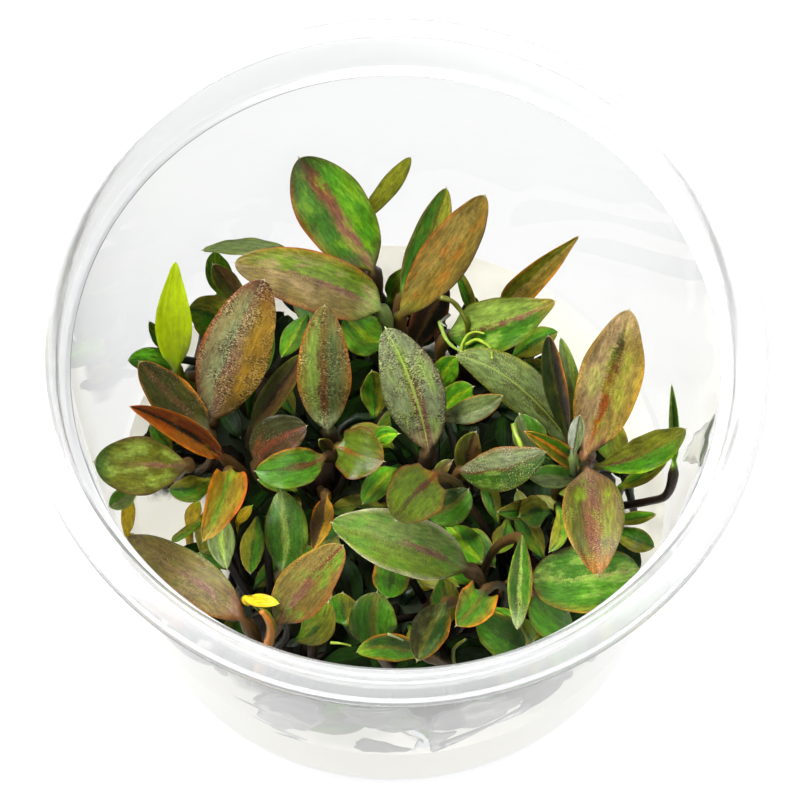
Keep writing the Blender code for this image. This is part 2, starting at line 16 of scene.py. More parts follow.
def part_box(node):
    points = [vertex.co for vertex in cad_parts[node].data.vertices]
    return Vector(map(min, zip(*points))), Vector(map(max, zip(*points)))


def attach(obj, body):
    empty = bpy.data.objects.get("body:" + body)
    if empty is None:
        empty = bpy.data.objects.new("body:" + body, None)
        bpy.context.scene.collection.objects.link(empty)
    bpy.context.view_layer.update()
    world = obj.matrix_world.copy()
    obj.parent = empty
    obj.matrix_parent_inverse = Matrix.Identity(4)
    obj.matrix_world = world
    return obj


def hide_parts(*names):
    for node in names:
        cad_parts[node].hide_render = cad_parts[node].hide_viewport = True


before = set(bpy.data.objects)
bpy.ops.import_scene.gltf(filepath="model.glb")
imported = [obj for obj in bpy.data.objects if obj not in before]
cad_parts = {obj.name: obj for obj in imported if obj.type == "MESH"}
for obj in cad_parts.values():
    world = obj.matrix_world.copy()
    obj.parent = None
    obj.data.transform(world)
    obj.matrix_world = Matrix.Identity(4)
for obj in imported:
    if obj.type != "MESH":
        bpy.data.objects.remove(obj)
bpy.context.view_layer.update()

MM = 0.001

# The camera that fits the rim, ledge and foot of the cup in the photograph
CAMERA_PLACE = (0.0, -230.07, 584.72)
CAMERA_PAN = 0.00321
CAMERA_TILT = 1.16207
CAMERA_ROLL = 0.02409
CAMERA_LENS = 180.0
SENSOR = 36.0

# How the leaf solids are laid out
STALK_RINGS = 3
BLADE_RINGS = 7
RIB_SHARE = 0.6
MERGE = 0.002 * MM
LIGHT_POINT = np.array((0.0, -230.0, 585.0))

# How finely a leaf is built
GROWN_ROWS = (14, 44, 21)
YOUNG_ROWS = (7, 22, 11)
UNDER_ROWS = (5, 13, 9)
STALK_RADIUS = 0.62
BLADE_THICKNESS = 0.2
RIB_GROOVE = 0.1
RIB_SHOULDER = 0.16
RIB_KEEL = 0.55
VEIN_RELIEF = 0.035
BLADE_SAG = 0.12

COLOURS = {
    "white": "F5F3EA",
    "cream": "D8CFA6",
    # The pale speck colour of the leaves is a painted glint.
    "painted_glint": "C4B884",
    "sheath": "8F9680",
    "gel_shade": "E9E6D8",
    "film_light": "D9DCD6",
    "film_pale": "949B91",
    "film_dark": "4E534B",
    "fresh": "9DB536",
    "silver": "93A06C",
    "grey_green": "66773F",
    "pale_green": "86A040",
    "lime": "B0C804",
    "yellow_green": "7C9A14",
    "bright_green": "4C8A10",
    "green": "3C7010",
    "deep_green": "254A0E",
    "shaded_green": "1A340C",
    "gloom": "14200A",
    "dark_green": "16260F",
    "olive": "626514",
    "dark_olive": "37390F",
    "bronze": "786322",
    "tan": "8C7836",
    "pink_tan": "A0865A",
    "pink": "8A5E46",
    "red_brown": "723A1E",
    "rust": "944A10",
    "orange": "B86C0C",
    "gold": "A67E1C",
    "yellow": "CDB00A",
    "brown": "513A1C",
    "dark_brown": "2A1C11",
    "black_brown": "15100A",
}


class Look(NamedTuple):
    """The colours of a leaf across and along its blade."""

    left: str = "green"
    right: str = "green"
    rib: str = "olive"
    rib_end: str = ""
    margin: str = "olive"
    margin_right: str = ""
    base: str = ""
    tip: str = ""
    under: str = "olive"
    stalk: str = "brown"
    blotch: str = "dark_olive"
    blotch_share: float = 0.25
    rib_width: float = 0.12
    margin_width: float = 0.08
    fleck: float = 0.35
    # How much dark grain, the leaf's own, and pale painted glints a leaf has.
    grain_and_glint: float = 0.15
    seam: str = ""
    streak: float = 1.9
    # light scales a leaf's colours, set leaf by leaf: the leaf's own tone together with painted light and
    # shade, lower where a leaf faces the lamps, higher where it lies in shade.
    light: float = 1.0
    gloss: float = 0.24
    wave: float = 0.2
    fold: float = 2.0


LOOKS = {
    "leaf_back_broad": Look(
        "green", "bright_green", "pink", "red_brown", "rust", "olive", base="brown", tip="dark_olive",
        stalk="dark_brown", blotch="yellow_green", blotch_share=0.3, rib_width=0.18, fleck=0.4,
        grain_and_glint=0.1),
    "leaf_back_narrow": Look(
        "olive", "olive", "olive", margin="dark_olive", blotch_share=0.1, light=2.0),
    "leaf_back_level": Look(
        "tan", "yellow_green", "pink", "tan", "rust", "orange", base="pale_green", tip="tan",
        stalk="grey_green", blotch="pink_tan", blotch_share=0.5, rib_width=0.08, light=0.55),
    "leaf_back_middle": Look(
        "deep_green", "olive", "dark_olive", margin="brown", blotch_share=0.4, light=2.0),
    "leaf_back_rust": Look(
        "tan", "bronze", "bronze", "tan", "rust", "dark_brown", base="olive", tip="bronze",
        blotch="rust", blotch_share=0.3, light=0.9),
    "leaf_back_dark": Look(
        "dark_brown", "black_brown", "brown", margin="red_brown", stalk="black_brown"),
    "leaf_backright_twisted": Look(
        "pale_green", "green", "brown", "pink", "olive", base="deep_green", tip="bronze",
        blotch="pale_green", blotch_share=0.4, wave=0.45, rib_width=0.08, light=0.85),
    "leaf_backright_slender": Look("olive", "bronze", "tan", margin="orange", wave=0.3),
    "leaf_middle_speckled": Look(
        "pale_green", "grey_green", "red_brown", "bronze", "orange", base="silver", tip="bronze",
        stalk="dark_brown", rib_width=0.16, margin_width=0.12, grain_and_glint=0.75, light=0.64),
    "leaf_middle_brown": Look(
        "dark_olive", "brown", "red_brown", margin="dark_olive", blotch="red_brown", blotch_share=0.5,
        grain_and_glint=0.3, light=0.63),
    "leaf_middle_edged": Look(
        "bright_green", "bright_green", "red_brown", "green", "olive", "orange", base="red_brown",
        stalk="dark_brown", light=0.66),
    "leaf_middle_kidney": Look(
        "yellow_green", "yellow_green", "orange", "yellow_green", "rust", tip="gold", rib_width=0.08,
        fleck=0.15, light=0.35),
    "leaf_middle_yellowing": Look("gold", "brown", "brown", margin="orange", light=0.9),
    # Lime all over and bright: painted light, for light shining through the leaf from behind.
    "leaf_left_lime": Look(
        "lime", "lime", "lime", margin="lime", base="yellow_green", under="lime", stalk="olive",
        blotch="yellow_green", blotch_share=0.1, fleck=0.0, grain_and_glint=0.0, streak=0.5, light=1.1),
    "leaf_left_speckled": Look(
        "silver", "gold", "pink", "pink_tan", "rust", "gold", base="brown", tip="red_brown",
        stalk="dark_brown", blotch="bronze", rib_width=0.2, margin_width=0.2, grain_and_glint=1.0,
        blotch_share=0.35, light=0.66),
    "leaf_left_outer": Look("deep_green", "green", "deep_green", margin="dark_olive", light=3.5),
    "leaf_left_olive": Look(
        "dark_olive", "dark_olive", "brown", margin="orange", margin_width=0.05, grain_and_glint=0.5,
        light=1.3),
    "leaf_left_folded": Look(
        "rust", "red_brown", "black_brown", margin="orange", under="rust", blotch="bronze", fold=1.3,
        light=1.25),
    "leaf_left_wide": Look(
        "olive", "olive", "pink", "olive", "brown", base="brown", tip="deep_green",
        blotch="pale_green", blotch_share=0.35, rib_width=0.08, light=1.2),
    "leaf_left_edged": Look(
        "olive", "olive", "green", margin="rust", margin_right="orange", tip="bronze", under="orange",
        blotch="green", margin_width=0.26, fold=1.6, light=1.15),
    "leaf_left_thin": Look(
        "grey_green", "grey_green", "grey_green", margin="olive", under="grey_green", light=1.2),
    "leaf_right_hanging": Look(
        "grey_green", "grey_green", "dark_olive", "grey_green", "olive", base="dark_green",
        blotch="dark_olive", blotch_share=0.45, grain_and_glint=0.5, seam="pale_green", wave=0.3, light=1.4),
    "leaf_right_dark": Look(
        "dark_green", "black_brown", "dark_olive", margin="dark_olive", margin_right="orange",
        light=1.6),
    "leaf_right_grey": Look("grey_green", "pale_green", "grey_green", margin="grey_green", light=1.6),
    "leaf_right_broad": Look(
        "pink_tan", "tan", "rust", "dark_olive", "gold", base="pink", tip="pink_tan",
        stalk="dark_brown", blotch="yellow_green", blotch_share=0.22, rib_width=0.1, grain_and_glint=0.35,
        light=1.28),
    "leaf_right_wavy": Look(
        "olive", "green", "brown", "olive", "olive", "yellow_green", base="dark_olive", tip="olive",
        wave=0.5, grain_and_glint=0.3),
    "leaf_right_rolled": Look(
        "pale_green", "green", "deep_green", margin="pale_green", tip="pale_green", under="grey_green",
        stalk="dark_brown", fold=1.4, light=1.5),
    "leaf_right_front": Look(
        "tan", "olive", "pink", "rust", "olive", "gold", base="pink", tip="orange", stalk="black_brown",
        blotch="yellow_green", blotch_share=0.4, rib_width=0.24, grain_and_glint=0.5, light=0.56),
    "leaf_right_folded": Look(
        "olive", "green", "orange", margin="orange", under="rust", fold=1.3, light=1.7),
    "leaf_centre_speckled": Look(
        "silver", "silver", "pink", "yellow_green", "grey_green", "brown", base="pink", tip="silver",
        stalk="dark_brown", blotch="pale_green", blotch_share=0.5, rib_width=0.14, grain_and_glint=0.9,
        seam="pale_green", light=0.6),
    "leaf_centre_round": Look(
        "yellow_green", "yellow_green", "red_brown", "olive", "rust", base="rust", tip="olive",
        rib_width=0.1, light=0.4),
    "leaf_centre_striped": Look(
        "grey_green", "silver", "grey_green", margin="orange", margin_width=0.04, grain_and_glint=0.4,
        light=0.85),
    "leaf_centre_bright": Look("deep_green", "bright_green", "olive", margin="olive", light=0.54),
    "leaf_frontleft_large": Look(
        "tan", "bronze", "pink", "tan", "orange", "olive", base="red_brown", tip="bronze",
        blotch="olive", blotch_share=0.45, rib_width=0.12, fleck=0.45, grain_and_glint=0.3, wave=0.3,
        light=0.8),
    "leaf_frontleft_bronze": Look(
        "tan", "bronze", "pink", "red_brown", "gold", "rust", base="brown", blotch="bright_green",
        blotch_share=0.4, rib_width=0.12, grain_and_glint=0.35, light=0.82),
    "leaf_frontleft_green": Look(
        "green", "green", "pale_green", margin="olive", tip="pale_green", light=0.7),
    "leaf_frontleft_grey": Look(
        "grey_green", "grey_green", "pale_green", margin="grey_green", light=1.1),
    "leaf_front_large": Look(
        "yellow_green", "pale_green", "pink", "pale_green", "cream", base="brown",
        blotch="bright_green", blotch_share=0.45, rib_width=0.1, margin_width=0.05, grain_and_glint=0.25,
        light=0.52),
    "leaf_front_shaded": Look(
        "bright_green", "green", "deep_green", margin="rust", tip="bright_green", base="dark_green",
        light=0.85),
    "leaf_front_round": Look("green", "bright_green", "olive", margin="olive", tip="olive", light=0.85),
    "leaf_front_low": Look(
        "bright_green", "deep_green", "olive", margin="orange", tip="yellow_green", light=0.9),
    "leaf_front_olive": Look(
        "deep_green", "dark_olive", "olive", margin="orange", margin_right="dark_olive",
        blotch="grey_green", blotch_share=0.3, light=0.55),
    "leaf_front_heart": Look(
        "green", "bright_green", "olive", margin="orange", base="dark_green", margin_width=0.16),
    "leaf_front_corner": Look("deep_green", "green", "deep_green", margin="olive", light=0.6),
    "leaf_frontright_upright": Look(
        "green", "deep_green", "pale_green", margin="gold", margin_right="yellow_green", tip="silver",
        grain_and_glint=0.7),
    "leaf_frontright_wide": Look(
        "green", "bright_green", "pale_green", "pink_tan", "brown", margin_right="gold",
        blotch="pale_green", blotch_share=0.45, rib_width=0.06, wave=0.35),
    "leaf_frontright_low": Look("green", "bright_green", "green", margin="olive", light=1.2),
    "leaf_frontright_freckled": Look(
        "silver", "green", "red_brown", "olive", "orange", "olive", blotch="pale_green",
        blotch_share=0.5, rib_width=0.07, grain_and_glint=0.8, light=0.5),
}

YOUNG_LOOKS = {
    "shaded": Look(
        "green", "olive", "deep_green", margin="bronze", blotch="olive", blotch_share=0.5,
        stalk="dark_green", light=1.4),
    "bright": Look(
        "green", "bright_green", "yellow_green", margin="olive", stalk="deep_green", blotch="olive",
        light=1.35),
    "brown": Look("dark_olive", "brown", "dark_brown", margin="olive", stalk="dark_brown", light=1.3),
    "grey": Look("grey_green", "green", "grey_green", margin="pale_green", stalk="deep_green"),
    # Near-black leaves: painted shade for the dark gaps at the plant's foot.
    "gloom": Look(
        "gloom", "shaded_green", "gloom", margin="gloom", under="gloom", stalk="black_brown",
        blotch="gloom", grain_and_glint=0.0, gloss=0.05),
    "yellow": Look(
        "yellow", "yellow", "yellow", margin="gold", tip="lime", under="yellow", stalk="yellow",
        blotch="gold"),
    "pale": Look(
        "sheath", "grey_green", "dark_olive", margin="sheath", under="sheath", stalk="grey_green",
        blotch="dark_olive", blotch_share=0.4, light=0.8),
}

# Young leaves that differ from the shaded ones around them, by where their tips are
YOUNG_SPOTS = (
    ((13.0, -19.5, 40.0), "bright"),
    ((0.5, 0.0, 41.0), "bright"),
    ((-7.5, 18.5, 42.0), "bright"),
    ((-31.0, 19.0, 42.0), "bright"),
    ((-27.5, 28.5, 42.0), "bright"),
    ((11.5, 9.5, 37.0), "bright"),
    ((-19.5, 19.0, 38.0), "grey"),
    ((-14.0, 11.0, 44.0), "brown"),
    ((-17.0, 13.5, 38.0), "bright"),
    ((9.0, 12.5, 41.0), "bright"),
    ((12.0, 0.0, 42.0), "brown"),
    ((8.5, -7.0, 48.0), "brown"),
    ((-27.5, 25.0, 45.0), "brown"),
    ((-11.0, -0.5, 39.0), "brown"),
    ((-41.0, -14.5, 46.0), "grey"),
    ((18.5, 3.0, 42.0), "grey"),
    ((20.0, -6.0, 40.0), "grey"),
)
YOUNG_REACH = 2.5


def linear(name):
    """A named colour as linear red, green, blue and alpha."""
    code = COLOURS[name]
    parts = []
    for start in (0, 2, 4):
        value = int(code[start:start + 2], 16) / 255.0
        parts.append(value / 12.92 if value <= 0.04045 else ((value + 0.055) / 1.055) ** 2.4)
    return (*parts, 1.0)


class Nodes:
    """A short way to write a material's node tree."""

    def __init__(self, name):
        self.material = bpy.data.materials.new(name)
        self.material.use_nodes = True
        self.tree = self.material.node_tree
        self.shader = self.tree.nodes["Principled BSDF"]

    def add(self, kind, **settings):
        node = self.tree.nodes.new(kind)
        for key, value in settings.items():
            setattr(node, key, value)
        return node

    def link(self, source, target):
        self.tree.links.new(source, target)

    def read(self, name):
        """A vector that the mesh carries at each corner."""
        return self.add("ShaderNodeAttribute", attribute_name=name).outputs["Vector"]

    def shade(self, values):
        """Link or set the shader's own inputs by name."""
        for name, value in values.items():
            self.feed(self.shader, name, value)

    def feed(self, node, index, value):
        """Link a socket or set a plain value on an input, given by number or name."""
        if isinstance(value, bpy.types.NodeSocket):
            self.link(value, node.inputs[index])
        else:
            node.inputs[index].default_value = value

    def maths(self, operation, first, second=0.0, third=0.0, clamp=False):
        node = self.add("ShaderNodeMath", operation=operation, use_clamp=clamp)
        for index, value in enumerate((first, second, third)):
            self.feed(node, index, value)
        return node.outputs[0]

    def times(self, first, second, clamp=False):
        return self.maths("MULTIPLY", first, second, 0.0, clamp)

    def plus(self, first, second):
        return self.maths("ADD", first, second)

    def step(self, value, low, high):
        """A smooth step from 0 at low to 1 at high."""
        node = self.add("ShaderNodeMapRange", interpolation_type="SMOOTHSTEP")
        self.feed(node, 0, value)
        node.inputs[1].default_value = low
        node.inputs[2].default_value = high
        return node.outputs[0]

    def mix(self, share, first, second):
        node = self.add("ShaderNodeMix", data_type="RGBA")
        self.feed(node, 0, share)
        self.feed(node, 6, first)
        self.feed(node, 7, second)
        return node.outputs[2]

    def noise(self, place, scale, detail=3.0, roughness=0.55, distortion=0.0):
        node = self.add("ShaderNodeTexNoise")
        self.link(place, node.inputs["Vector"])
        node.inputs["Scale"].default_value = scale
        node.inputs["Detail"].default_value = detail
        node.inputs["Roughness"].default_value = roughness
        node.inputs["Distortion"].default_value = distortion
        return node.outputs["Fac"]

    def stretch(self, place, scale):
        node = self.add("ShaderNodeVectorMath", operation="MULTIPLY")
        self.link(place, node.inputs[0])
        node.inputs[1].default_value = scale
        return node.outputs[0]

    def split(self, vector):
        node = self.add("ShaderNodeSeparateXYZ")
        self.link(vector, node.inputs[0])
        return node.outputs

    def ramp(self, value, stops):
        node = self.add("ShaderNodeValToRGB")
        self.link(value, node.inputs[0])
        elements = node.color_ramp.elements
        while len(elements) < len(stops):
            elements.new(0.5)
        for element, (place, colour) in zip(elements, stops):
            element.position = place
            element.color = colour
        return node.outputs[0]

    def bump(self, height, strength, distance):
        node = self.add("ShaderNodeBump")
        node.inputs["Strength"].default_value = strength
        node.inputs["Distance"].default_value = distance
        self.link(height, node.inputs["Height"])
        self.link(node.outputs[0], self.shader.inputs["Normal"])


def between(first, second, share):
    """A colour part of the way from one named colour to another."""
    return tuple(a + (b - a) * share for a, b in zip(linear(first), linear(second)))


def across_stops(look, rib):
    """The colours from the left margin over the rib to the right margin."""
    margin_right = look.margin_right or look.margin
    middle = 0.5
    half_rib = 0.5 * look.rib_width
    edge = 0.5 * look.margin_width
    return (
        (0.0, linear(look.margin)),
        (0.35 * edge, linear(look.margin)),
        (0.8 * edge, between(look.margin, look.left, 0.55)),
        (4.0 * edge, linear(look.left)),
        (middle - 1.7 * half_rib, linear(look.left)),
        (middle - 0.7 * half_rib, linear(rib)),
        (middle + 0.7 * half_rib, linear(rib)),
        (middle + 1.7 * half_rib, linear(look.right)),
        (1.0 - 4.0 * edge, linear(look.right)),
        (1.0 - 0.8 * edge, between(margin_right, look.right, 0.55)),
        (1.0 - 0.35 * edge, linear(margin_right)),
        (1.0, linear(margin_right)),
    )


def leaf_material(name, look):
    """A living leaf: rib, flanks and margins, blotches, veins, flecks, dark grain and painted glints."""
    made = Nodes(name)
    place = made.read("leaf_place")
    spot = made.read("leaf_mm")
    across, along, side = made.split(place)
    away = made.maths("ABSOLUTE", across)

    coarse = made.noise(made.stretch(spot, (1.0, 0.4, 1.0)), 0.5, 4.0)
    ragged = made.noise(made.stretch(spot, (0.7, 1.0, 1.0)), 2.4, 4.0, 0.68)
    fine = made.noise(made.stretch(spot, (0.75, 1.25, 1.0)), 5.0, 2.0, 0.75)
    wander = made.times(made.maths("SUBTRACT", coarse, 0.5), 0.3)
    tatter = made.times(made.maths("SUBTRACT", ragged, 0.5), 0.22)
    halved = made.maths("MULTIPLY_ADD", across, 0.5, 0.5)
    edge_still = made.maths("SUBTRACT", 1.0, made.maths("POWER", away, 4.0))
    moved = made.maths("MULTIPLY_ADD", made.plus(wander, tatter), edge_still, halved)

    low = made.ramp(moved, across_stops(look, look.rib))
    high = made.ramp(moved, across_stops(look, look.rib_end or look.rib))
    colour = made.mix(made.step(made.plus(along, wander), 0.25, 0.8), low, high)

    blotches = made.step(made.plus(coarse, made.times(tatter, 0.8)), 0.48, 0.62)
    inside = made.step(away, 0.95, 0.6)
    blotches = made.times(blotches, look.blotch_share * 1.5)
    share = made.times(blotches, inside, True)
    colour = made.mix(share, colour, linear(look.blotch))
    if look.base:
        near = made.step(made.plus(along, wander), 0.24, 0.0)
        colour = made.mix(made.times(near, 0.85), colour, linear(look.base))
    if look.tip:
        far = made.step(made.plus(along, made.times(tatter, 1.5)), 0.76, 0.98)
        colour = made.mix(made.times(far, 0.85), colour, linear(look.tip))

    veins = made.maths("SINE", made.times(away, 15.0))
    vein_shade = made.maths("MULTIPLY_ADD", veins, 0.05, 1.0)
    streaks = made.noise(made.stretch(spot, (3.0, 0.6, 1.0)), 1.0, 4.0, 0.6)
    # look.light scales the streaked brightness: painted light and shade set leaf by leaf, with the leaf's
    # own tone.
    streaked = made.maths("MULTIPLY_ADD", streaks, look.streak * look.light,
                          (0.87 - 0.5 * look.streak) * look.light)
    broad = made.maths("MULTIPLY_ADD", coarse, 1.5, 0.25)
    shade = made.times(made.times(vein_shade, streaked), broad)
    shaded = made.add("ShaderNodeVectorMath", operation="SCALE")
    made.link(colour, shaded.inputs[0])
    made.link(shade, shaded.inputs["Scale"])
    colour = shaded.outputs[0]

    patch = made.noise(made.stretch(spot, (1.0, 0.7, 1.0)), 0.4, 2.0)
    close = made.plus(made.step(away, 0.45, 0.1), made.step(away, 0.6, 0.9))
    where = made.plus(made.step(patch, 0.42, 0.6), made.times(close, 0.6))
    # Dark grain specks are the leaf's own; the pale specks are painted glints.
    if look.grain_and_glint:
        lights = made.times(made.step(fine, 0.56, 0.68), where)
        darks = made.times(made.step(fine, 0.5, 0.4), where)
        dark = made.times(darks, look.grain_and_glint, True)
        colour = made.mix(dark, colour, linear("dark_brown"))
        bright = made.times(lights, 0.6 * look.grain_and_glint, True)
        colour = made.mix(bright, colour, linear("painted_glint"))
    if look.seam:
        bent = made.maths("MULTIPLY_ADD", tatter, 0.3, across)
        line = made.step(made.maths("ABSOLUTE", bent), 0.06, 0.02)
        colour = made.mix(made.times(line, 0.7), colour, linear(look.seam))
    flecks = made.times(made.step(ragged, 0.6, 0.68), made.plus(close, 0.3))
    colour = made.mix(made.times(flecks, look.fleck, True), colour, linear("dark_brown"))

    below = made.mix(0.75, colour, linear(look.under))
    colour = made.mix(made.step(side, 0.1, -0.3), colour, below)
    root = made.mix(made.step(along, -0.1, -1.1), linear(look.stalk), linear("black_brown"))
    colour = made.mix(made.step(made.plus(along, wander), 0.08, -0.06), colour, root)
    colour = made.mix(made.times(made.step(along, 0.992, 1.004), 0.4), colour, linear("cream"))
    rough = made.maths("MULTIPLY_ADD", ragged, 0.4, 0.18)
    made.shade({"Base Color": colour, "Roughness": rough, "Specular IOR Level": look.gloss})
    height = made.maths("MULTIPLY_ADD", fine, 0.35 + look.grain_and_glint, made.times(ragged, 0.5))
    height = made.maths("MULTIPLY_ADD", veins, 0.12, height)
    made.bump(height, 0.35, 0.25 * MM)
    return made.material


def smooth(knots, values, places):
    """A smooth curve through values at knots, read at places."""
    values = np.asarray(values, float)
    gaps = np.diff(knots)
    slopes = np.diff(values, axis=0) / gaps.reshape(-1, *[1] * (values.ndim - 1))
    tangents = np.empty_like(values)
    tangents[0], tangents[-1] = slopes[0], slopes[-1]
    weights = (gaps[1:] / (gaps[1:] + gaps[:-1])).reshape(-1, *[1] * (values.ndim - 1))
    tangents[1:-1] = slopes[:-1] * weights + slopes[1:] * (1.0 - weights)
    spans = np.clip(np.searchsorted(knots, places, side="right") - 1, 0, len(gaps) - 1)
    shape = (-1,) + (1,) * (values.ndim - 1)
    width = gaps[spans].reshape(shape)
    step = ((places - knots[spans]).reshape(shape)) / width
    return ((2 * step ** 3 - 3 * step ** 2 + 1) * values[spans]
            + (step ** 3 - 2 * step ** 2 + step) * width * tangents[spans]
            + (3 * step ** 2 - 2 * step ** 3) * values[spans + 1]
            + (step ** 3 - step ** 2) * width * tangents[spans + 1])


def unit(vectors):
    return vectors / np.linalg.norm(vectors, axis=-1, keepdims=True)


def node_solid(name):
    """A node's mesh with its split corners joined."""
    solid = bmesh.new()
    solid.from_mesh(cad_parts[name].data)
    bmesh.ops.remove_doubles(solid, verts=solid.verts, dist=MERGE)
    return solid


def rings_behind(tip):
    """The rings of four corners behind a leaf's tip, or None where the corner isn't a tip."""
    seen = {tip}
    ring = [tip]
    found = []
    while len(found) < STALK_RINGS + BLADE_RINGS:
        behind = []
        for corner in ring:
            for edge in corner.link_edges:
                other = edge.other_vert(corner)
                if other not in seen:
                    seen.add(other)
                    behind.append(other)
        if len(behind) != 4:
            return None
        found.append(behind)
        ring = behind
    return found


def around(ring):
    """A ring's four corners in order round the leaf, whichever way its cap is split."""
    neighbours = {}
    for corner in ring:
        others = [edge.other_vert(corner) for edge in corner.link_edges]
        neighbours[corner] = [other for other in others if other in ring]
    first = next(corner for corner in ring if len(neighbours[corner]) == 2)
    second, fourth = neighbours[first]
    third = next(corner for corner in ring if corner not in (first, second, fourth))
    return [first, second, third, fourth]


def spots_of(ring):
    """Corners as an array in millimetres."""
    return np.array([np.array(corner.co) / MM for corner in ring])


def best_turn(ring, model):
    """The order in which each corner joins its neighbour ring's corner along the leaf."""
    aims = unit(spots_of(model) - spots_of(model).mean(axis=0))
    best, best_score = ring, -9.0
    for way in (ring, ring[::-1]):
        for shift in range(4):
            option = way[shift:] + way[:shift]
            joined = all(any(edge.other_vert(corner) is other for edge in corner.link_edges)
                         for corner, other in zip(option, model))
            spots = spots_of(option)
            score = float((unit(spots - spots.mean(axis=0)) * aims).sum())
            if joined and score > best_score:
                best, best_score = option, score
    return best


def spread(ring):
    spots = spots_of(ring)
    return max(np.linalg.norm(spots[0] - spots[2]), np.linalg.norm(spots[1] - spots[3]))


def ordered_rings(found, tip):
    """Rings from root to tip, each as left edge, upper rib, right edge and lower rib, in millimetres."""
    rings = [around(ring) for ring in reversed(found)]
    widest = max(range(STALK_RINGS, len(rings) - 1), key=lambda index: spread(rings[index]))
    ring = rings[widest]
    spots = spots_of(ring)
    if np.linalg.norm(spots[0] - spots[2]) < np.linalg.norm(spots[1] - spots[3]):
        ring = ring[1:] + ring[:1]
    spots = spots_of(ring)
    along = spots_of(rings[widest + 1]).mean(axis=0) - spots.mean(axis=0)
    if (spots[1] - spots[3]).dot(LIGHT_POINT - spots.mean(axis=0)) < 0.0:
        ring = ring[2:] + ring[:2]
    spots = spots_of(ring)
    if (spots[2] - spots[0]).dot(np.cross(along, spots[1] - spots[3])) < 0.0:
        ring = [ring[2], ring[1], ring[0], ring[3]]
    rings[widest] = ring
    for index in range(widest + 1, len(rings)):
        rings[index] = best_turn(rings[index], rings[index - 1])
    for index in range(widest - 1, -1, -1):
        rings[index] = best_turn(rings[index], rings[index + 1])
    return [spots_of(ring) for ring in rings], spots_of([tip])[0]


class Spine(NamedTuple):
    """A leaf's curves: knots along it, centre, half width squared, across, face and edge rise."""

    knots: np.ndarray
    centre: np.ndarray
    half_squared: np.ndarray
    across: np.ndarray
    face: np.ndarray
    rise: np.ndarray
    blade_start: float
    length: float


def leaf_spine(rings, tip_place):
    """Read the curves of a leaf from its rings."""
    centre, half, across, face, rise = [], [], [], [], []
    for index, (left, upper, right, lower) in enumerate(rings):
        share = RIB_SHARE if index >= STALK_RINGS else 0.5
        middle = lower + (upper - lower) * share
        centre.append(middle)
        half.append(0.5 * np.linalg.norm(right - left))
        across.append((right - left) / (2.0 * half[-1]))
        face.append((upper - lower) / np.linalg.norm(upper - lower))
        rise.append((0.5 * (left + right) - middle) / half[-1])
    centre.append(tip_place)
    half.append(0.0)
    for row in (across, face, rise):
        row.append(row[-1])
    centre = np.array(centre)
    knots = np.concatenate([[0.0], np.cumsum(np.linalg.norm(np.diff(centre, axis=0), axis=1))])
    return Spine(knots, centre, np.array(half) ** 2, np.array(across), np.array(face),
                 np.array(rise), knots[STALK_RINGS], knots[-1] - knots[STALK_RINGS])


def ease(value, low, high):
    step = np.clip((value - low) / (high - low), 0.0, 1.0)
    return step * step * (3.0 - 2.0 * step)


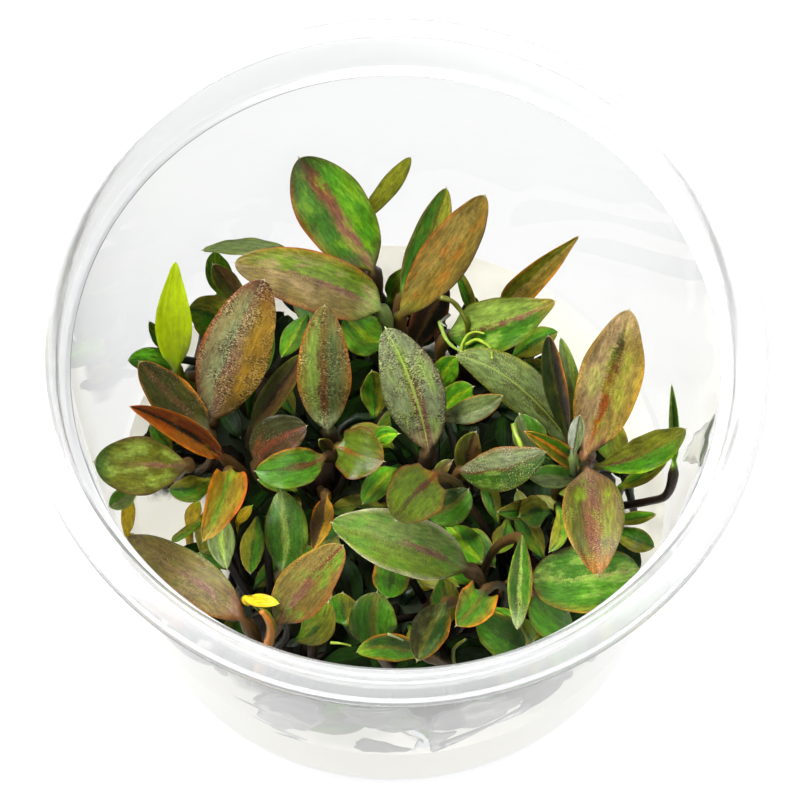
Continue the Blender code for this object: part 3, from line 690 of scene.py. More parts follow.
def leaf_surface(spine, look, seed, stalk_rows, blade_rows, columns):
    """The corner grid of a fine leaf: rows of closed loops, with each corner's place on the leaf."""
    luck = np.random.default_rng(seed)
    stalk_places = np.linspace(0.0, spine.blade_start, stalk_rows, endpoint=False)
    swing = np.sin(0.5 * np.pi * np.linspace(0.0, 1.0, blade_rows + 1)[:-1])
    blade_places = spine.blade_start + spine.length * swing
    places = np.concatenate([stalk_places, blade_places])
    along = (places - spine.blade_start) / spine.length

    centre = smooth(spine.knots, spine.centre, places)
    half = np.sqrt(np.maximum(smooth(spine.knots, spine.half_squared, places), 0.0025))
    across = unit(smooth(spine.knots, spine.across, places))
    face = unit(smooth(spine.knots, spine.face, places))
    rise = smooth(spine.knots, spine.rise, places)

    blade = ease(along, -0.02, 0.14)
    ripple = 1.0 + 0.02 * np.sin(along * luck.uniform(9.0, 15.0) + luck.uniform(0.0, 6.0))
    broad = np.clip(half.max() / 3.5, 0.4, 1.3)
    radius = STALK_RADIUS * (1.0 + 0.9 * broad * ease(along, -0.5, 0.0))
    half = np.where(along < 0.0, radius, half * ripple)
    half = np.maximum(half, 0.06)

    top = np.sin(0.5 * np.pi * np.linspace(-1.0, 1.0, columns))
    loop = np.concatenate([top, top[::-1][1:-1]])
    is_top = np.concatenate([np.ones(columns), -np.ones(columns - 2)])
    is_top[0] = is_top[columns - 1] = 0.0
    round_side = is_top * np.sqrt(np.maximum(1.0 - loop ** 2, 0.0))

    grid_u = np.broadcast_to(loop, (len(places), len(loop)))
    grid_t = np.broadcast_to(along[:, None], grid_u.shape)
    wide = half[:, None]
    dist = np.abs(grid_u) * wide
    taper = 1.0 - 0.75 * np.clip(grid_t, 0.0, 1.0)

    shoulder = RIB_SHOULDER * np.exp(-(dist / 0.5) ** 2) * taper
    rib_top = shoulder - RIB_GROOVE * np.exp(-(dist / 0.22) ** 2)
    rib_low = RIB_KEEL * np.exp(-(dist / 0.45) ** 2) * taper
    skin = BLADE_THICKNESS * np.sqrt(np.maximum(1.0 - np.abs(grid_u) ** 6, 0.0))
    veins = VEIN_RELIEF * np.cos(np.abs(grid_u) * 15.0) * ease(np.abs(grid_u), 0.1, 0.3)
    blade_side = np.where(is_top > 0, rib_top + veins + 0.3 * skin, -0.7 * skin - rib_low + veins)
    blade_side = np.where(is_top == 0, 0.0, blade_side)
    stalk_side = round_side * radius[:, None]
    mix = blade[:, None]
    height = stalk_side * (1.0 - mix) + blade_side * mix

    phase = luck.uniform(0.0, 6.28, 4)
    count = luck.uniform(2.2, 3.4)
    swell = np.abs(grid_u) ** 2.2 * ease(grid_t, 0.03, 0.3) * ease(1.0 - grid_t, 0.0, 0.25)
    turn = 2.0 * np.pi * count * grid_t + np.where(grid_u < 0, phase[0], phase[1])
    height = height + look.wave * np.minimum(wide / 3.0, 1.0) * swell * np.sin(turn)
    sag = BLADE_SAG * np.sin(5.0 * grid_t + phase[2]) * np.cos(2.2 * grid_u + phase[3]) * mix
    height = height + sag * np.minimum(wide / 3.0, 1.0)

    bend = np.abs(grid_u) ** look.fold
    points = (centre[:, None, :] + across[:, None, :] * (grid_u * wide)[..., None]
              + rise[:, None, :] * (bend * wide * mix)[..., None]
              + face[:, None, :] * height[..., None])
    place = np.stack([grid_u, grid_t, np.broadcast_to(is_top, grid_u.shape)], axis=-1)
    spot = np.stack([grid_u * wide, grid_t * spine.length,
                     np.full(grid_u.shape, 7.3 * seed)], axis=-1)
    return points, place, spot, hook(spine, centre, face, seed)


def hook(spine, centre, face, seed):
    """The pale hooked point in which a blade ends: its rows' centres and radii."""
    forward = spine.centre[-1] - centre[-1]
    forward = forward / max(np.linalg.norm(forward), 1e-6)
    down = -face[-1]
    size = 0.25 + 0.3 * ((seed * 37) % 10) / 10.0
    bends = np.linspace(0.0, 1.1, 5)[1:]
    tip = spine.centre[-1]
    rows = [tip + size * (forward * math.sin(b) + down * (1.0 - math.cos(b))) for b in bends]
    return rows, (0.1, 0.08, 0.05, 0.02)


class Pile:
    """Corners and faces of several leaves, joined into one mesh."""

    def __init__(self):
        self.points = []
        self.faces = []
        self.place = []
        self.spot = []
        self.looks = []
        self.count = 0

    def add(self, points, place, spot, faces, look):
        self.points.append(points)
        self.place.append(place)
        self.spot.append(spot)
        self.faces += [tuple(self.count + corner for corner in face) for face in faces]
        self.looks += [look] * len(faces)
        self.count += len(points)

    def piece(self, name, materials):
        mesh = bpy.data.meshes.new(name)
        mesh.from_pydata((np.concatenate(self.points) * MM).tolist(), [], self.faces)
        for key, rows in (("leaf_place", self.place), ("leaf_mm", self.spot)):
            if any(len(row) for row in rows):
                layer = mesh.attributes.new(key, "FLOAT_VECTOR", "POINT")
                layer.data.foreach_set("vector", np.concatenate(rows).astype(np.float32).ravel())
        for material in materials:
            mesh.materials.append(material)
        mesh.polygons.foreach_set("material_index", self.looks)
        mesh.shade_smooth()
        tidy = bmesh.new()
        tidy.from_mesh(mesh)
        bmesh.ops.recalc_face_normals(tidy, faces=tidy.faces)
        tidy.to_mesh(mesh)
        tidy.free()
        item = bpy.data.objects.new(name, mesh)
        bpy.context.scene.collection.objects.link(item)
        return item


def add_leaf(pile, spine, look, seed, slot, rows):
    """Skin one fine leaf into a pile, from its rows along stalk and blade and its columns."""
    points, place, spot, (hook_rows, hook_radii) = leaf_surface(spine, look, seed, *rows)
    row_count, loop_count, _ = points.shape
    corners = points.reshape(-1, 3)
    last = points[-1] - points[-1].mean(axis=0)
    shape = last / max(np.abs(last).max(), 1e-6)
    extra = [middle + shape * radius for middle, radius in zip(hook_rows, hook_radii)]
    corners = np.concatenate([corners] + extra)
    extra_place = np.tile([0.0, 1.01, 1.0], (len(extra) * loop_count, 1))
    extra_spot = np.tile(spot[-1].mean(axis=0), (len(extra) * loop_count, 1))
    faces = loft_faces(row_count + len(extra), loop_count)
    pile.add(corners, np.concatenate([place.reshape(-1, 3), extra_place]),
             np.concatenate([spot.reshape(-1, 3), extra_spot]), faces, slot)


def finish_piece(item, *nodes):
    """Let a piece ride on the part and stand for its nodes."""
    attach(item, "root")
    if nodes:
        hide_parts(*nodes)
    return item


def build_leaf(node, seed):
    """One grown leaf in place of its solid."""
    solid = node_solid(node)
    tips = [corner for corner in solid.verts if len(corner.link_edges) == 4]
    found = [(rings_behind(tip), tip) for tip in tips]
    rings, tip = next(row for row in found if row[0])
    spine = leaf_spine(*ordered_rings(rings, tip))
    solid.free()
    look = LOOKS[node]
    pile = Pile()
    add_leaf(pile, spine, look, seed, 0, GROWN_ROWS)
    finish_piece(pile.piece(node + "_blade", [leaf_material(node + "_skin", look)]), node)


def young_look(tip_place):
    """Which of the young looks a leaf has, from where its tip is."""
    for spot, look in YOUNG_SPOTS:
        if np.linalg.norm(tip_place - np.array(spot)) < YOUNG_REACH:
            return look
    return "shaded"


def add_stub(pile, rest, slot):
    """The crown's own short stem, a ribbed knob through the rings of the solid."""
    heights = sorted({round(corner.co.z / MM, 2) for corner in rest})
    low = [corner for corner in rest if abs(corner.co.z / MM - heights[0]) < 0.05]
    middle = np.mean([np.array(corner.co) / MM for corner in low], axis=0)
    sides = 28
    rows = []
    for height in heights:
        level = [corner for corner in rest if abs(corner.co.z / MM - height) < 0.05]
        radius = np.mean([math.hypot(c.co.x / MM - middle[0], c.co.y / MM - middle[1]) for c in level])
        rows.append((height, max(radius, 0.3)))
    knots = np.array([row[0] for row in rows])
    radii = np.array([row[1] for row in rows])
    levels = np.linspace(knots[0], knots[-1], 12)
    girth = smooth(knots, radii, levels)
    turns = 2.0 * np.pi * np.arange(sides) / sides
    points = []
    for level, radius in zip(levels, girth):
        ribbed = radius * (1.0 + 0.06 * np.sin(7.0 * turns + 0.5 * level))
        points.append(np.stack([middle[0] + ribbed * np.cos(turns), middle[1] + ribbed * np.sin(turns),
                                np.full(sides, level)], axis=-1))
    points = np.concatenate(points)
    place = np.tile([0.0, -0.6, 1.0], (len(points), 1))
    pile.add(points, place, points, loft_faces(len(levels), sides), slot)


def build_crown(node, young_materials, seed):
    """A crown's stem with its young leaves, in place of the solid."""
    solid = node_solid(node)
    rest = set(solid.verts)
    names = list(YOUNG_LOOKS)
    pile = Pile()
    for corner in list(solid.verts):
        if len(corner.link_edges) != 4 or corner not in rest:
            continue
        rings = rings_behind(corner)
        if not rings:
            continue
        rest -= {corner, *[spot for ring in rings for spot in ring]}
        turned, tip_place = ordered_rings(rings, corner)
        look = young_look(tip_place)
        seed += 1
        spine = leaf_spine(turned, tip_place)
        add_leaf(pile, spine, YOUNG_LOOKS[look], seed, names.index(look), YOUNG_ROWS)
    add_stub(pile, rest, names.index("brown"))
    solid.free()
    finish_piece(pile.piece(node + "_fine", young_materials), node)
    return seed


# The small leaves that fill the plant's foot, under the named ones
UNDER_EDGE = (
    (-39, 19), (-30, 29), (-17, 31), (-3, 29), (9, 27), (20, 22), (30, 10), (38, -1), (38, -12),
    (31, -22), (19, -30), (2, -35), (-13, -33), (-22, -28), (-27, -19), (-27, -11), (-30, -4),
    (-38, -4), (-41, 3), (-40, 12),
)
UNDER_REACH = 38.0
UNDER_SEED = 4107
UNDER_TRIES = 5
UNDER_SCATTER = 1.4
GEL_SURFACE = 17.7
BARE_LOW = (-43.0, -13.0)
BARE_HIGH = (-29.0, 0.5)
# How far inside the plant's edge the painted shade on the gel reaches its full depth.
PLANT_SHADE_REACH = 5.0


class Layer(NamedTuple):
    """A storey of small leaves: their spacing, heights, climb, length and share of each look."""

    spacing: float
    low: float
    high: float
    climb: tuple
    size: tuple
    shares: tuple


# The lowest storey is mostly gloom leaves that lie low over the gel: painted shade at the plant's foot.
UNDER_LAYERS = (
    Layer(3.3, 18.5, 21.0, (-0.02, 0.2), (7.0, 10.5), (0.2, 0.0, 0.0, 0.0, 0.8, 0.0, 0.0)),
    Layer(3.6, 20.0, 27.0, (0.0, 0.5), (5.5, 9.5), (0.6, 0.04, 0.06, 0.02, 0.28, 0.0, 0.0)),
    Layer(4.0, 26.0, 33.5, (0.1, 0.8), (5.0, 8.5), (0.66, 0.22, 0.06, 0.06, 0.0, 0.0, 0.0)),
)


def inside_edge(x, y):
    """Whether a spot lies inside the plant's foot."""
    inside = False
    for (ax, ay), (bx, by) in zip(UNDER_EDGE, UNDER_EDGE[1:] + UNDER_EDGE[:1]):
        if (ay > y) != (by > y) and x < ax + (bx - ax) * (y - ay) / (by - ay):
            inside = not inside
    return inside and math.hypot(x, y) < UNDER_REACH


def small_spine(root, base, tip, width, blunt):
    """The curves of a small leaf from where it roots to its tip."""
    root, base, tip = (np.array(spot, float) for spot in (root, base, tip))
    middle = 0.5 * (base + tip) + np.array((0.0, 0.0, 0.12)) * np.linalg.norm(tip - base)
    stalk = [root, root * 0.55 + base * 0.45 + np.array((0.0, 0.0, 0.9))]
    steps = (0.0, 0.12, 0.3, 0.5, 0.7, 0.88)
    blade = [base * (1 - s) ** 2 + (4 * middle - base - tip) * s * (1 - s) + tip * s * s for s in steps]
    centre = np.array(stalk + blade + [tip])
    knots = np.concatenate([[0.0], np.cumsum(np.linalg.norm(np.diff(centre, axis=0), axis=1))])
    half = [0.4, 0.4] + [max(0.4, 0.5 * width * math.sin(math.pi * s ** 0.95) ** blunt) for s in steps]
    forward = unit(np.gradient(centre, axis=0))
    light = unit(LIGHT_POINT - centre)
    across = unit(np.cross(forward, light))
    face = unit(np.cross(across, forward))
    rise = face * 0.12
    start = knots[len(stalk)]
    half_squared = np.array(half + [0.0]) ** 2
    return Spine(knots, centre, half_squared, across, face, rise, start, knots[-1] - start)


def tree_of(points, faces):
    return BVHTree.FromPolygons([tuple(point) for point in points], faces)


def solids_tree():
    """The leaf and crown solids, to keep small leaves clear of them."""
    points, faces = [], []
    for name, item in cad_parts.items():
        if name.startswith(("leaf_", "crown_")):
            start = len(points)
            points += [np.array(corner.co) / MM for corner in item.data.vertices]
            faces += [[start + index for index in face.vertices] for face in item.data.polygons]
    return tree_of(points, faces)


def small_leaf(luck, layer, x, y, crowns):
    """The curves of a small leaf that leans away from the nearest crown, or None outside the cup."""
    nearest = min(crowns, key=lambda crown: math.hypot(x - crown[0], y - crown[1]))
    away = math.atan2(y - nearest[1], x - nearest[0]) + luck.normal(0.0, 0.9)
    height = luck.uniform(layer.low, layer.high)
    climb = luck.uniform(*layer.climb)
    size = luck.uniform(*layer.size)
    level = math.cos(climb)
    heading = np.array((math.cos(away) * level, math.sin(away) * level, math.sin(climb)))
    base = np.array((x, y, height))
    tip = base + heading * size
    if math.hypot(tip[0], tip[1]) > UNDER_REACH + 1.5:
        return None
    pull = luck.uniform(0.5, 2.5) + 0.25 * (height - GEL_SURFACE)
    root = (x - math.cos(away) * pull, y - math.sin(away) * pull, GEL_SURFACE - 0.4)
    if any(BARE_LOW[0] < spot[0] < BARE_HIGH[0] and BARE_LOW[1] < spot[1] < BARE_HIGH[1]
           for spot in (root, base)):
        return None
    return small_spine(root, base, tip, size * luck.uniform(0.42, 0.62), luck.uniform(0.5, 0.7))


def build_undergrowth(materials, seed):
    """Many small shaded leaves between the crowns, each clear of the others."""
    luck = np.random.default_rng(UNDER_SEED)
    crowns = [np.mean([np.array(c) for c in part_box(name)], axis=0)[:2] / MM
              for name in sorted(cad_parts) if name.startswith("crown_")]
    kept = [solids_tree()]
    names = list(YOUNG_LOOKS)
    pile = Pile()
    for layer in UNDER_LAYERS:
        steps = int(2 * UNDER_REACH / layer.spacing) + 1
        for x, y in np.ndindex(steps, steps):
            spot = (layer.spacing * (np.array((x + 0.5 * (y % 2), y))) - UNDER_REACH
                    + luck.uniform(-UNDER_SCATTER, UNDER_SCATTER, 2))
            if not inside_edge(*spot):
                continue
            for attempt in range(UNDER_TRIES):
                seed += 1
                spine = small_leaf(luck, layer, *spot, crowns)
                if not spine:
                    continue
                slot = int(luck.choice(len(names), p=layer.shares))
                trial = Pile()
                add_leaf(trial, spine, YOUNG_LOOKS[names[slot]], seed, slot, UNDER_ROWS)
                tree = tree_of(trial.points[0], trial.faces)
                if any(tree.overlap(other) for other in kept):
                    continue
                kept.append(tree)
                pile.add(trial.points[0], trial.place[0], trial.spot[0], trial.faces, slot)
                break
    item = finish_piece(pile.piece("undergrowth", materials))


class Sprig(NamedTuple):
    """A leaf too small for the solids: its look, root, blade base, tip and width."""

    look: str
    root: tuple
    base: tuple
    tip: tuple
    width: float


SPRIGS = (
    Sprig("yellow", (-38.6, -9.4, 17.4), (-40.2, -8.6, 19.6), (-39.6, -4.6, 25.2), 2.2),
    Sprig("yellow", (-30.6, -9.5, 17.4), (-30.9, -7.6, 21.4), (-29.1, -5.6, 26.2), 2.4),
    Sprig("yellow", (-24.2, -11.2, 17.4), (-23.2, -9.9, 28.4), (-21.0, -7.6, 30.1), 1.7),
    Sprig("yellow", (-20.0, -26.5, 40.0), (-20.6, -29.2, 47.4), (-16.0, -30.5, 50.1), 2.0),
    Sprig("pale", (26.6, -5.0, 38.5), (26.3, -3.2, 42.7), (27.2, 2.0, 44.4), 2.4),
)


class Strand(NamedTuple):
    """A root, thin stalk or curl: its colour, its radius at both ends and where it runs."""

    colour: str
    thick: float
    thin: float
    spots: tuple


STRANDS = (
    Strand(
        "fresh", 0.32, 0.12, ((9.7, 14.8, 37.4), (10.0, 16.0, 38.6), (10.6, 16.8, 39.4),
        (11.7, 16.9, 40.7), (13.1, 16.1, 41.9))),
    Strand(
        "fresh", 0.3, 0.12, ((10.5, 15.8, 38.4), (11.9, 15.9, 40.1), (13.4, 14.5, 41.6),
        (14.1, 11.9, 44.7), (14.2, 10.1, 46.3))),
    Strand(
        "pale_green", 0.34, 0.2, ((6.5, 20.1, 37.0), (7.3, 17.1, 38.2), (8.4, 14.8, 40.0),
        (9.8, 13.0, 42.0))),
    Strand("sheath", 0.3, 0.1, ((7.9, 21.6, 36.4), (6.7, 19.6, 37.6), (7.4, 18.9, 38.2))),
    Strand(
        "olive", 0.42, 0.3, ((6.4, 20.7, 44.5), (7.9, 20.5, 44.0), (9.1, 20.1, 42.5),
        (10.2, 18.9, 41.2), (10.6, 17.6, 36.0))),
    Strand(
        "fresh", 0.4, 0.3, ((17.5, 1.4, 42.4), (17.8, 0.2, 42.2), (18.4, -1.3, 42.3),
        (18.8, -3.4, 44.0))),
    Strand(
        "olive", 0.4, 0.22, ((9.9, -29.9, 17.2), (9.8, -29.8, 22.0), (9.4, -29.4, 27.0),
        (9.9, -29.3, 31.0), (11.2, -28.8, 32.4))),
    Strand(
        "orange", 0.75, 0.4, ((-17.6, -33.6, 40.0), (-17.5, -34.0, 42.6), (-17.0, -33.4, 46.6),
        (-17.4, -32.6, 49.2), (-18.4, -31.8, 50.4))),
    Strand("silver", 0.22, 0.12, ((-0.3, -34.6, 49.6), (0.9, -34.8, 48.9), (1.9, -35.0, 48.2))),
    Strand("fresh", 0.22, 0.14, ((-8.7, -28.7, 29.2), (-7.2, -29.0, 29.8), (-5.7, -29.1, 29.2))),
)
STRAND_ROWS = 24
STRAND_SIDES = 10


def tube(strand):
    """The corners and faces of a closed tapering tube through a strand's spots."""
    spots = np.array(strand.spots)
    knots = np.concatenate([[0.0], np.cumsum(np.linalg.norm(np.diff(spots, axis=0), axis=1))])
    runs = np.linspace(0.0, knots[-1], STRAND_ROWS)
    centre = smooth(knots, spots, runs)
    forward = unit(np.gradient(centre, axis=0))
    across = unit(np.cross(forward, (0.31, 0.42, 0.85)))
    up = np.cross(across, forward)
    share = runs / knots[-1]
    taper = strand.thick + (strand.thin - strand.thick) * share
    radius = taper * (1.0 + 0.08 * np.sin(runs * 2.3))
    turns = 2.0 * np.pi * np.arange(STRAND_SIDES) / STRAND_SIDES
    points = (centre[:, None] + across[:, None] * (radius[:, None] * np.cos(turns))[..., None]
              + up[:, None] * (radius[:, None] * np.sin(turns))[..., None])
    return points.reshape(-1, 3), loft_faces(STRAND_ROWS, STRAND_SIDES)


def loft_faces(rows, sides):
    """The faces of closed loops joined in a row, with both ends capped."""
    faces = [tuple(range(sides - 1, -1, -1))]
    for row in range(rows - 1):
        for side in range(sides):
            after = (side + 1) % sides
            faces.append((row * sides + side, row * sides + after,
                          (row + 1) * sides + after, (row + 1) * sides + side))
    end = (rows - 1) * sides
    faces.append(tuple(range(end, end + sides)))
    return faces


def soft_material(name, colour):
    """A plain living stem or root with faint mottling."""
    made = Nodes(name)
    spot = made.read("leaf_mm")
    mottle = made.noise(spot, 1.6, 3.0)
    shade = made.mix(made.times(mottle, 0.5), linear(colour), linear("dark_olive"))
    made.shade({"Base Color": shade, "Roughness": 0.4})
    return made.material


def build_strands():
    """Young roots, thin stalks and curls, joined into one piece."""
    colours = list(dict.fromkeys(strand.colour for strand in STRANDS))
    pile = Pile()
    for strand in STRANDS:
        points, faces = tube(strand)
        pile.add(points, np.zeros_like(points), points, faces, colours.index(strand.colour))
    item = finish_piece(pile.piece("roots_and_curls", [soft_material("stem_" + c, c) for c in colours]))


def build_sprigs(materials, seed):
    """The smallest leaves that stand out, joined into one piece."""
    names = list(YOUNG_LOOKS)
    pile = Pile()
    for sprig in SPRIGS:
        seed += 1
        spine = small_spine(sprig.root, sprig.base, sprig.tip, sprig.width, 0.6)
        add_leaf(pile, spine, YOUNG_LOOKS[sprig.look], seed, names.index(sprig.look), UNDER_ROWS)
    finish_piece(pile.piece("small_sprigs", materials))


def build_plants():
    """Every leaf and crown, and the small leaves at their foot."""
    young_materials = [leaf_material("young_" + name, look) for name, look in YOUNG_LOOKS.items()]
    seed = 0
    for node in sorted(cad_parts):
        if node.startswith("leaf_"):
            seed += 1
            build_leaf(node, seed)
    for node in sorted(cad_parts):
        if node.startswith("crown_"):
            seed = build_crown(node, young_materials, seed)
    build_undergrowth(young_materials, seed)
    build_sprigs(young_materials, seed)
    build_strands()


def add_camera():
    """The camera at the photograph's place."""
    forward = Vector((math.sin(CAMERA_PAN) * math.cos(CAMERA_TILT),
                      math.cos(CAMERA_PAN) * math.cos(CAMERA_TILT), -math.sin(CAMERA_TILT)))
    level = Vector((math.cos(CAMERA_PAN), -math.sin(CAMERA_PAN), 0.0))
    rise = level.cross(forward)
    right = level * math.cos(CAMERA_ROLL) + rise * math.sin(CAMERA_ROLL)
    upward = rise * math.cos(CAMERA_ROLL) - level * math.sin(CAMERA_ROLL)
    data = bpy.data.cameras.new("camera")
    data.lens = CAMERA_LENS
    data.sensor_width = SENSOR
    item = bpy.data.objects.new("camera", data)
    turn = Matrix((right, upward, -forward)).transposed().to_4x4()
    item.matrix_world = Matrix.Translation(Vector(CAMERA_PLACE) * MM) @ turn
    bpy.context.scene.collection.objects.link(item)
    bpy.context.scene.camera = item


def add_light(name, place, aim, size, power):
    """A square soft light that points at a spot."""
    data = bpy.data.lights.new(name, "AREA")
    data.shape = "SQUARE"
    data.size = size
    data.energy = power
    item = bpy.data.objects.new(name, data)
    item.location = place
    item.rotation_euler = (Vector(aim) - Vector(place)).to_track_quat("-Z", "Y").to_euler()
    bpy.context.scene.collection.objects.link(item)


def add_sky():
    """White light from all round, softer from straight above."""
    world = bpy.data.worlds.new("studio")
    world.use_nodes = True
    tree = world.node_tree
    heading = tree.nodes.new("ShaderNodeTexCoord").outputs["Generated"]
    split = tree.nodes.new("ShaderNodeSeparateXYZ")
    tree.links.new(heading, split.inputs[0])
    ramp = tree.nodes.new("ShaderNodeValToRGB")
    tree.links.new(split.outputs["Z"], ramp.inputs[0])
    levels = ((0.0, 0.85), (0.3, 0.7), (0.8, 0.34))
    ramp.color_ramp.elements.new(0.5)
    for element, (share, level) in zip(ramp.color_ramp.elements, levels):
        element.position = share
        element.color = (level, level, level, 1.0)
    tree.links.new(ramp.outputs[0], tree.nodes["Background"].inputs["Color"])
    bpy.context.scene.world = world


# The studio, in metres
LIGHTS = (
    ("key", (-0.4, 0.15, 0.8), (0.0, 0.0, 0.03), 0.35, 18.0),
    ("fill", (0.5, -0.4, 0.7), (0.0, 0.0, 0.03), 0.6, 4.5),
)
FLOOR_REACH = 4.0


def add_studio():
    """A white floor and soft white light."""
    bpy.context.scene.view_settings.view_transform = "Standard"
    add_sky()
    for light in LIGHTS:
        add_light(*light)
    mesh = bpy.data.meshes.new("floor")
    far = FLOOR_REACH
    mesh.from_pydata([(-far, -far, 0), (far, -far, 0), (far, far, 0), (-far, far, 0)], [], [(0, 1, 2, 3)])
    floor = bpy.data.objects.new("floor", mesh)
    bpy.context.scene.collection.objects.link(floor)
    made = Nodes("floor_white")
    made.shade({"Base Color": (0.06, 0.06, 0.06, 1.0), "Roughness": 1.0, "Specular IOR Level": 0.0,
                "Emission Color": (1.0, 1.0, 1.0, 1.0), "Emission Strength": 1.0})
    mesh.materials.append(made.material)


def turned(name, profile, sides, materials, node):
    """A piece turned from a closed cut given as radius and height."""
    points = []
    rows = []
    for radius, height in profile:
        if radius == 0.0:
            rows.append([len(points)] * sides)
            points.append((0.0, 0.0, height))
            continue
        rows.append(list(range(len(points), len(points) + sides)))
        for side in range(sides):
            turn = 2.0 * math.pi * side / sides
            points.append((radius * math.cos(turn), radius * math.sin(turn), height))
    faces = []
    for lower, upper in zip(rows, rows[1:]):
        for side in range(sides):
            after = (side + 1) % sides
            corners = [lower[side], lower[after], upper[after], upper[side]]
            faces.append(tuple(dict.fromkeys(corners)))
    points = np.array(points)
    # The gel's top carries how deep it lies in the painted shade under the plant.
    plant_shade = [plant_shade_share(x, y) if z == GEL_SURFACE else 0.0 for x, y, z in points]
    pile = Pile()
    pile.add(points, np.repeat(plant_shade, 3).reshape(-1, 3), points, faces, 0)
    item = pile.piece(name, materials)
    item.data.set_sharp_from_angle(angle=math.radians(40))
    return finish_piece(item, node)


def plastic_material(name, tint, clear, bend, roughness):
    """Milky moulded plastic: its grey, how clear it is, how much it bends light, how rough it is."""
    made = Nodes(name)
    made.shade({"Base Color": (tint, tint + 0.006, tint + 0.009, 1.0), "Transmission Weight": clear,
                "IOR": bend, "Roughness": roughness})
    return made.material


def gel_material():
    """Cloudy cream gel with a faint painted glow, and painted shade where the plant's foot covers it:
    dark and less clear.
    """
    made = Nodes("cream_gel")
    plant_shade = made.add("ShaderNodeAttribute", attribute_name="leaf_place").outputs["Fac"]
    spot = made.read("leaf_mm")
    broken = made.noise(spot, 0.35, 4.0, 0.65)
    # Painted shade under the plant: darker and less clear, with a ragged edge.
    share = made.step(made.plus(plant_shade, made.maths("SUBTRACT", broken, 0.5)), 0.2, 0.9)
    cream = made.mix(made.noise(spot, 0.12, 3.0), linear("white"), linear("gel_shade"))
    shaded_gel = made.mix(made.times(share, 0.985), cream, linear("gloom"))
    cloudy = made.maths("MULTIPLY_ADD", share, -0.7, 0.7)
    # The faint emission is painted light: a glow that brightens the cream gel.
    made.shade({"Base Color": shaded_gel, "Emission Color": shaded_gel, "Emission Strength": 0.17,
                "Roughness": 0.5, "Transmission Weight": cloudy, "IOR": 1.12})
    return made.material


def film_material(colour):
    """A wet film of gel on the wall, thinner in patches."""
    made = Nodes(colour)
    spot = made.read("leaf_mm")
    thin = made.step(made.noise(made.stretch(spot, (1.0, 1.0, 2.0)), 0.16, 4.0, 0.6), 0.42, 0.6)
    patched = made.mix(made.times(thin, FILM_PATCHES[colour]), linear(colour), linear("film_light"))
    made.shade({"Base Color": patched, "Roughness": 0.06, "Transmission Weight": 0.9, "IOR": 1.33})
    return made.material


# Films of gel on the inside of the wall: degrees from the front and height of each corner
FILMS = (
    ("film_pale", ((-20, 44), (-13, 48), (-12, 41), (-15, 29), (-21, 22), (-26, 25), (-27, 31))),
    ("film_pale", ((-9, 45), (3, 47), (7, 40), (7, 34), (3, 34), (-1, 34), (-4, 37), (-8, 38))),
    ("film_pale", ((8, 43), (15, 46), (22, 44), (25, 38), (25, 34), (20, 31), (13, 31), (8, 34))),
    ("film_pale", ((8, 33), (13, 30), (12, 27), (10, 20), (8, 24))),
    ("film_dark", ((-7, 24), (-5, 28), (-1, 28), (4, 23), (3, 21), (-2, 21), (-6, 21))),
    ("film_dark", ((2, 36), (6, 33), (8, 28), (8, 23), (5, 22), (7, 27), (5, 32))),
    ("film_dark", (
        (28, 33), (28, 28), (25, 31), (20, 28), (13, 25), (9, 19), (12, 26), (20, 30), (26, 33))),
    ("film_dark", ((-32, 28), (-28, 28.5), (-24, 29.5), (-28, 29.5))),
    ("film_dark", ((-24, 17.8), (-20, 18.8), (-17, 19.2), (-20, 19.6))),
    ("film_pale", ((-29, 22), (-20, 20), (-16, 21), (-21, 21.6))),
    # This film at the right wall is a painted reflection: a pale film of gel in the place of a reflection
    # in the wall.
    ("film_light", ((83, 64), (79, 61), (77, 56), (85, 41), (90, 35), (90, 41), (87, 51))),
)
FILM_PATCHES = {"film_light": 0.0, "film_pale": 0.8, "film_dark": 0.1}
FILM_THICKNESS = 0.3
FILM_RINGS = 6
FILM_CORNERS = 48
WALL_GAP = 0.06
WALL_LOW = (40.6, 2.8)
WALL_HIGH = (46.0, 66.5)


def inner_wall(height):
    """The cup's inner radius at a height."""
    (low_radius, low), (high_radius, high) = WALL_LOW, WALL_HIGH
    return low_radius + (height - low) * (high_radius - low_radius) / (high - low)


def film(outline):
    """A thin blister of gel on the wall, inside a smooth outline."""
    corners = np.array(outline + outline[:1], float)
    knots = np.arange(len(corners), dtype=float)
    turns = np.linspace(0.0, knots[-1], FILM_CORNERS, endpoint=False)
    rim = smooth(knots, corners, turns)
    middle = rim.mean(axis=0)
    ragged = 1.0 + 0.1 * np.sin(3.1 * turns + middle[0]) + 0.07 * np.sin(7.3 * turns + middle[1])
    rim = middle + (rim - middle) * ragged[:, None]
    outward = np.linspace(0.03, 1.0, FILM_RINGS)
    inward = np.linspace(0.97, 0.03, FILM_RINGS)
    rows = []
    for side, shares in ((0.0, outward), (1.0, inward)):
        for share in shares:
            turn, height = (middle + (rim - middle) * share).T
            depth = WALL_GAP + side * FILM_THICKNESS * (1.0 - share ** 4)
            radius = inner_wall(height) - depth
            turn = np.radians(turn)
            rows.append(np.stack([radius * np.sin(turn), -radius * np.cos(turn), height], axis=-1))
    return np.concatenate(rows), loft_faces(len(rows), FILM_CORNERS)


def build_films():
    """The smears of gel on the wall."""
    colours = list(FILM_PATCHES)
    pile = Pile()
    for colour, outline in FILMS:
        points, faces = film(outline)
        pile.add(points, np.zeros_like(points), points, faces, colours.index(colour))
    item = finish_piece(pile.piece("gel_films", [film_material(colour) for colour in colours]))


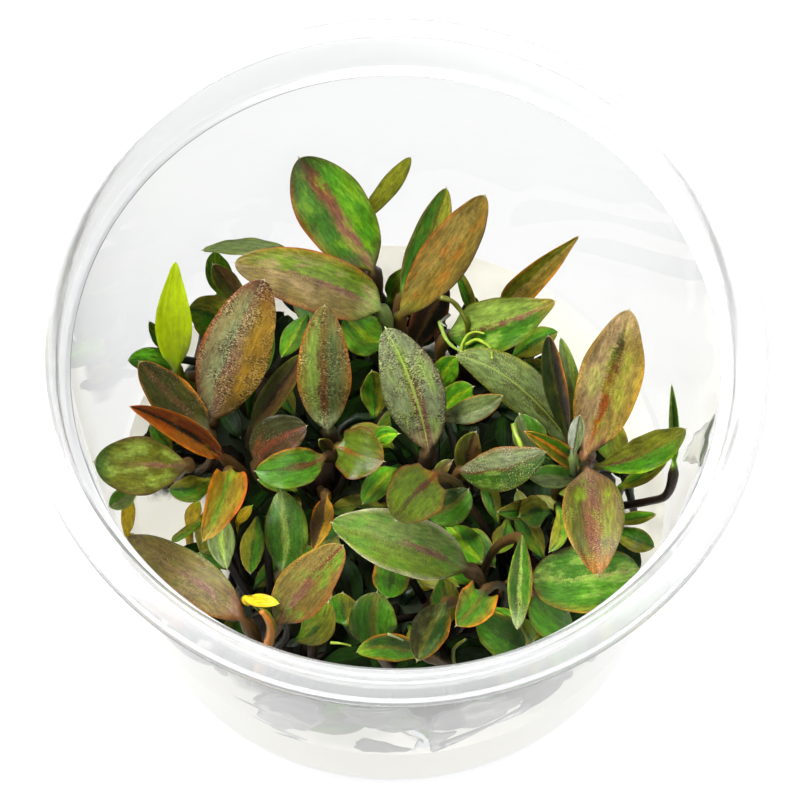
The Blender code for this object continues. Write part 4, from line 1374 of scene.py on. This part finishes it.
def plant_shade_share(x, y):
    """How deep a spot on the gel lies in the painted shade under the plant, from 0 at the plant's edge to
    1 inside.
    """
    near = PLANT_SHADE_REACH
    spot = np.array((x, y))
    for start, end in zip(UNDER_EDGE, UNDER_EDGE[1:] + UNDER_EDGE[:1]):
        start, run = np.array(start, float), np.subtract(end, start)
        share = np.clip((spot - start).dot(run) / run.dot(run), 0, 1)
        near = min(near, np.linalg.norm(start + run * share - spot))
    return near / PLANT_SHADE_REACH if inside_edge(x, y) else 0.0


# The cup's closed cut, and the heights at which its ledge and rim change their look
CUP_SIDES = 192
RIM_START = 66.2
EDGE_TOP = 66.53
LEDGE_TOP = 67.0
CUP_PROFILE = (
    (0.0, 0.7), (36.8, 0.7), (37.5, 0.0), (40.2, 0.0), (41.3, 1.6), (46.9, 65.6), (48.4, 66.0),
    (49.2, 72.6), (51.8, 71.5), (52.0, 69.9), (52.7, 69.9), (52.7, 71.9), (51.4, 73.1), (49.9, 73.8),
    (48.7, 73.8), (48.1, 73.1), (47.5, 66.9), (46.14, 66.537), WALL_HIGH, WALL_LOW, (39.2, 1.6),
    (0.0, 1.6),
)
GEL_PROFILE = (
    (0.0, 1.9), (38.9, 1.9), (40.2, 3.2), (41.5, 18.6), (40.9, 17.97), (38.8, GEL_SURFACE),
    *((radius, GEL_SURFACE) for radius in np.arange(37.5, 0.0, -1.5)), (0.0, GEL_SURFACE),
)


def build_cup():
    """The cup and its gel, finely turned."""
    plastics = [plastic_material("wall_plastic", 0.895, 0.95, 1.2, 0.03),
                plastic_material("rim_plastic", 0.87, 0.84, 1.18, 0.1),
                plastic_material("ledge_plastic", 0.86, 0.25, 1.18, 0.2),
                # The thin dark grey band at the top of the inner wall is painted shade for the dark line
                # at the mouth's inner edge.
                plastic_material("painted_edge_shade", 0.36, 0.2, 1.18, 0.2)]
    shell = turned("cup_shell", CUP_PROFILE, CUP_SIDES, plastics, "cup")
    for face in shell.data.polygons:
        height = face.center.z / MM
        if height > RIM_START:
            # Faces up to EDGE_TOP take the painted shade of the mouth's edge line.
            face.material_index = 1 if height > LEDGE_TOP else 2 if height > EDGE_TOP else 3
    turned("gel_bed", GEL_PROFILE, CUP_SIDES, [gel_material()], "nutrient_gel")
    build_films()


add_camera()
add_studio()
build_cup()
build_plants()
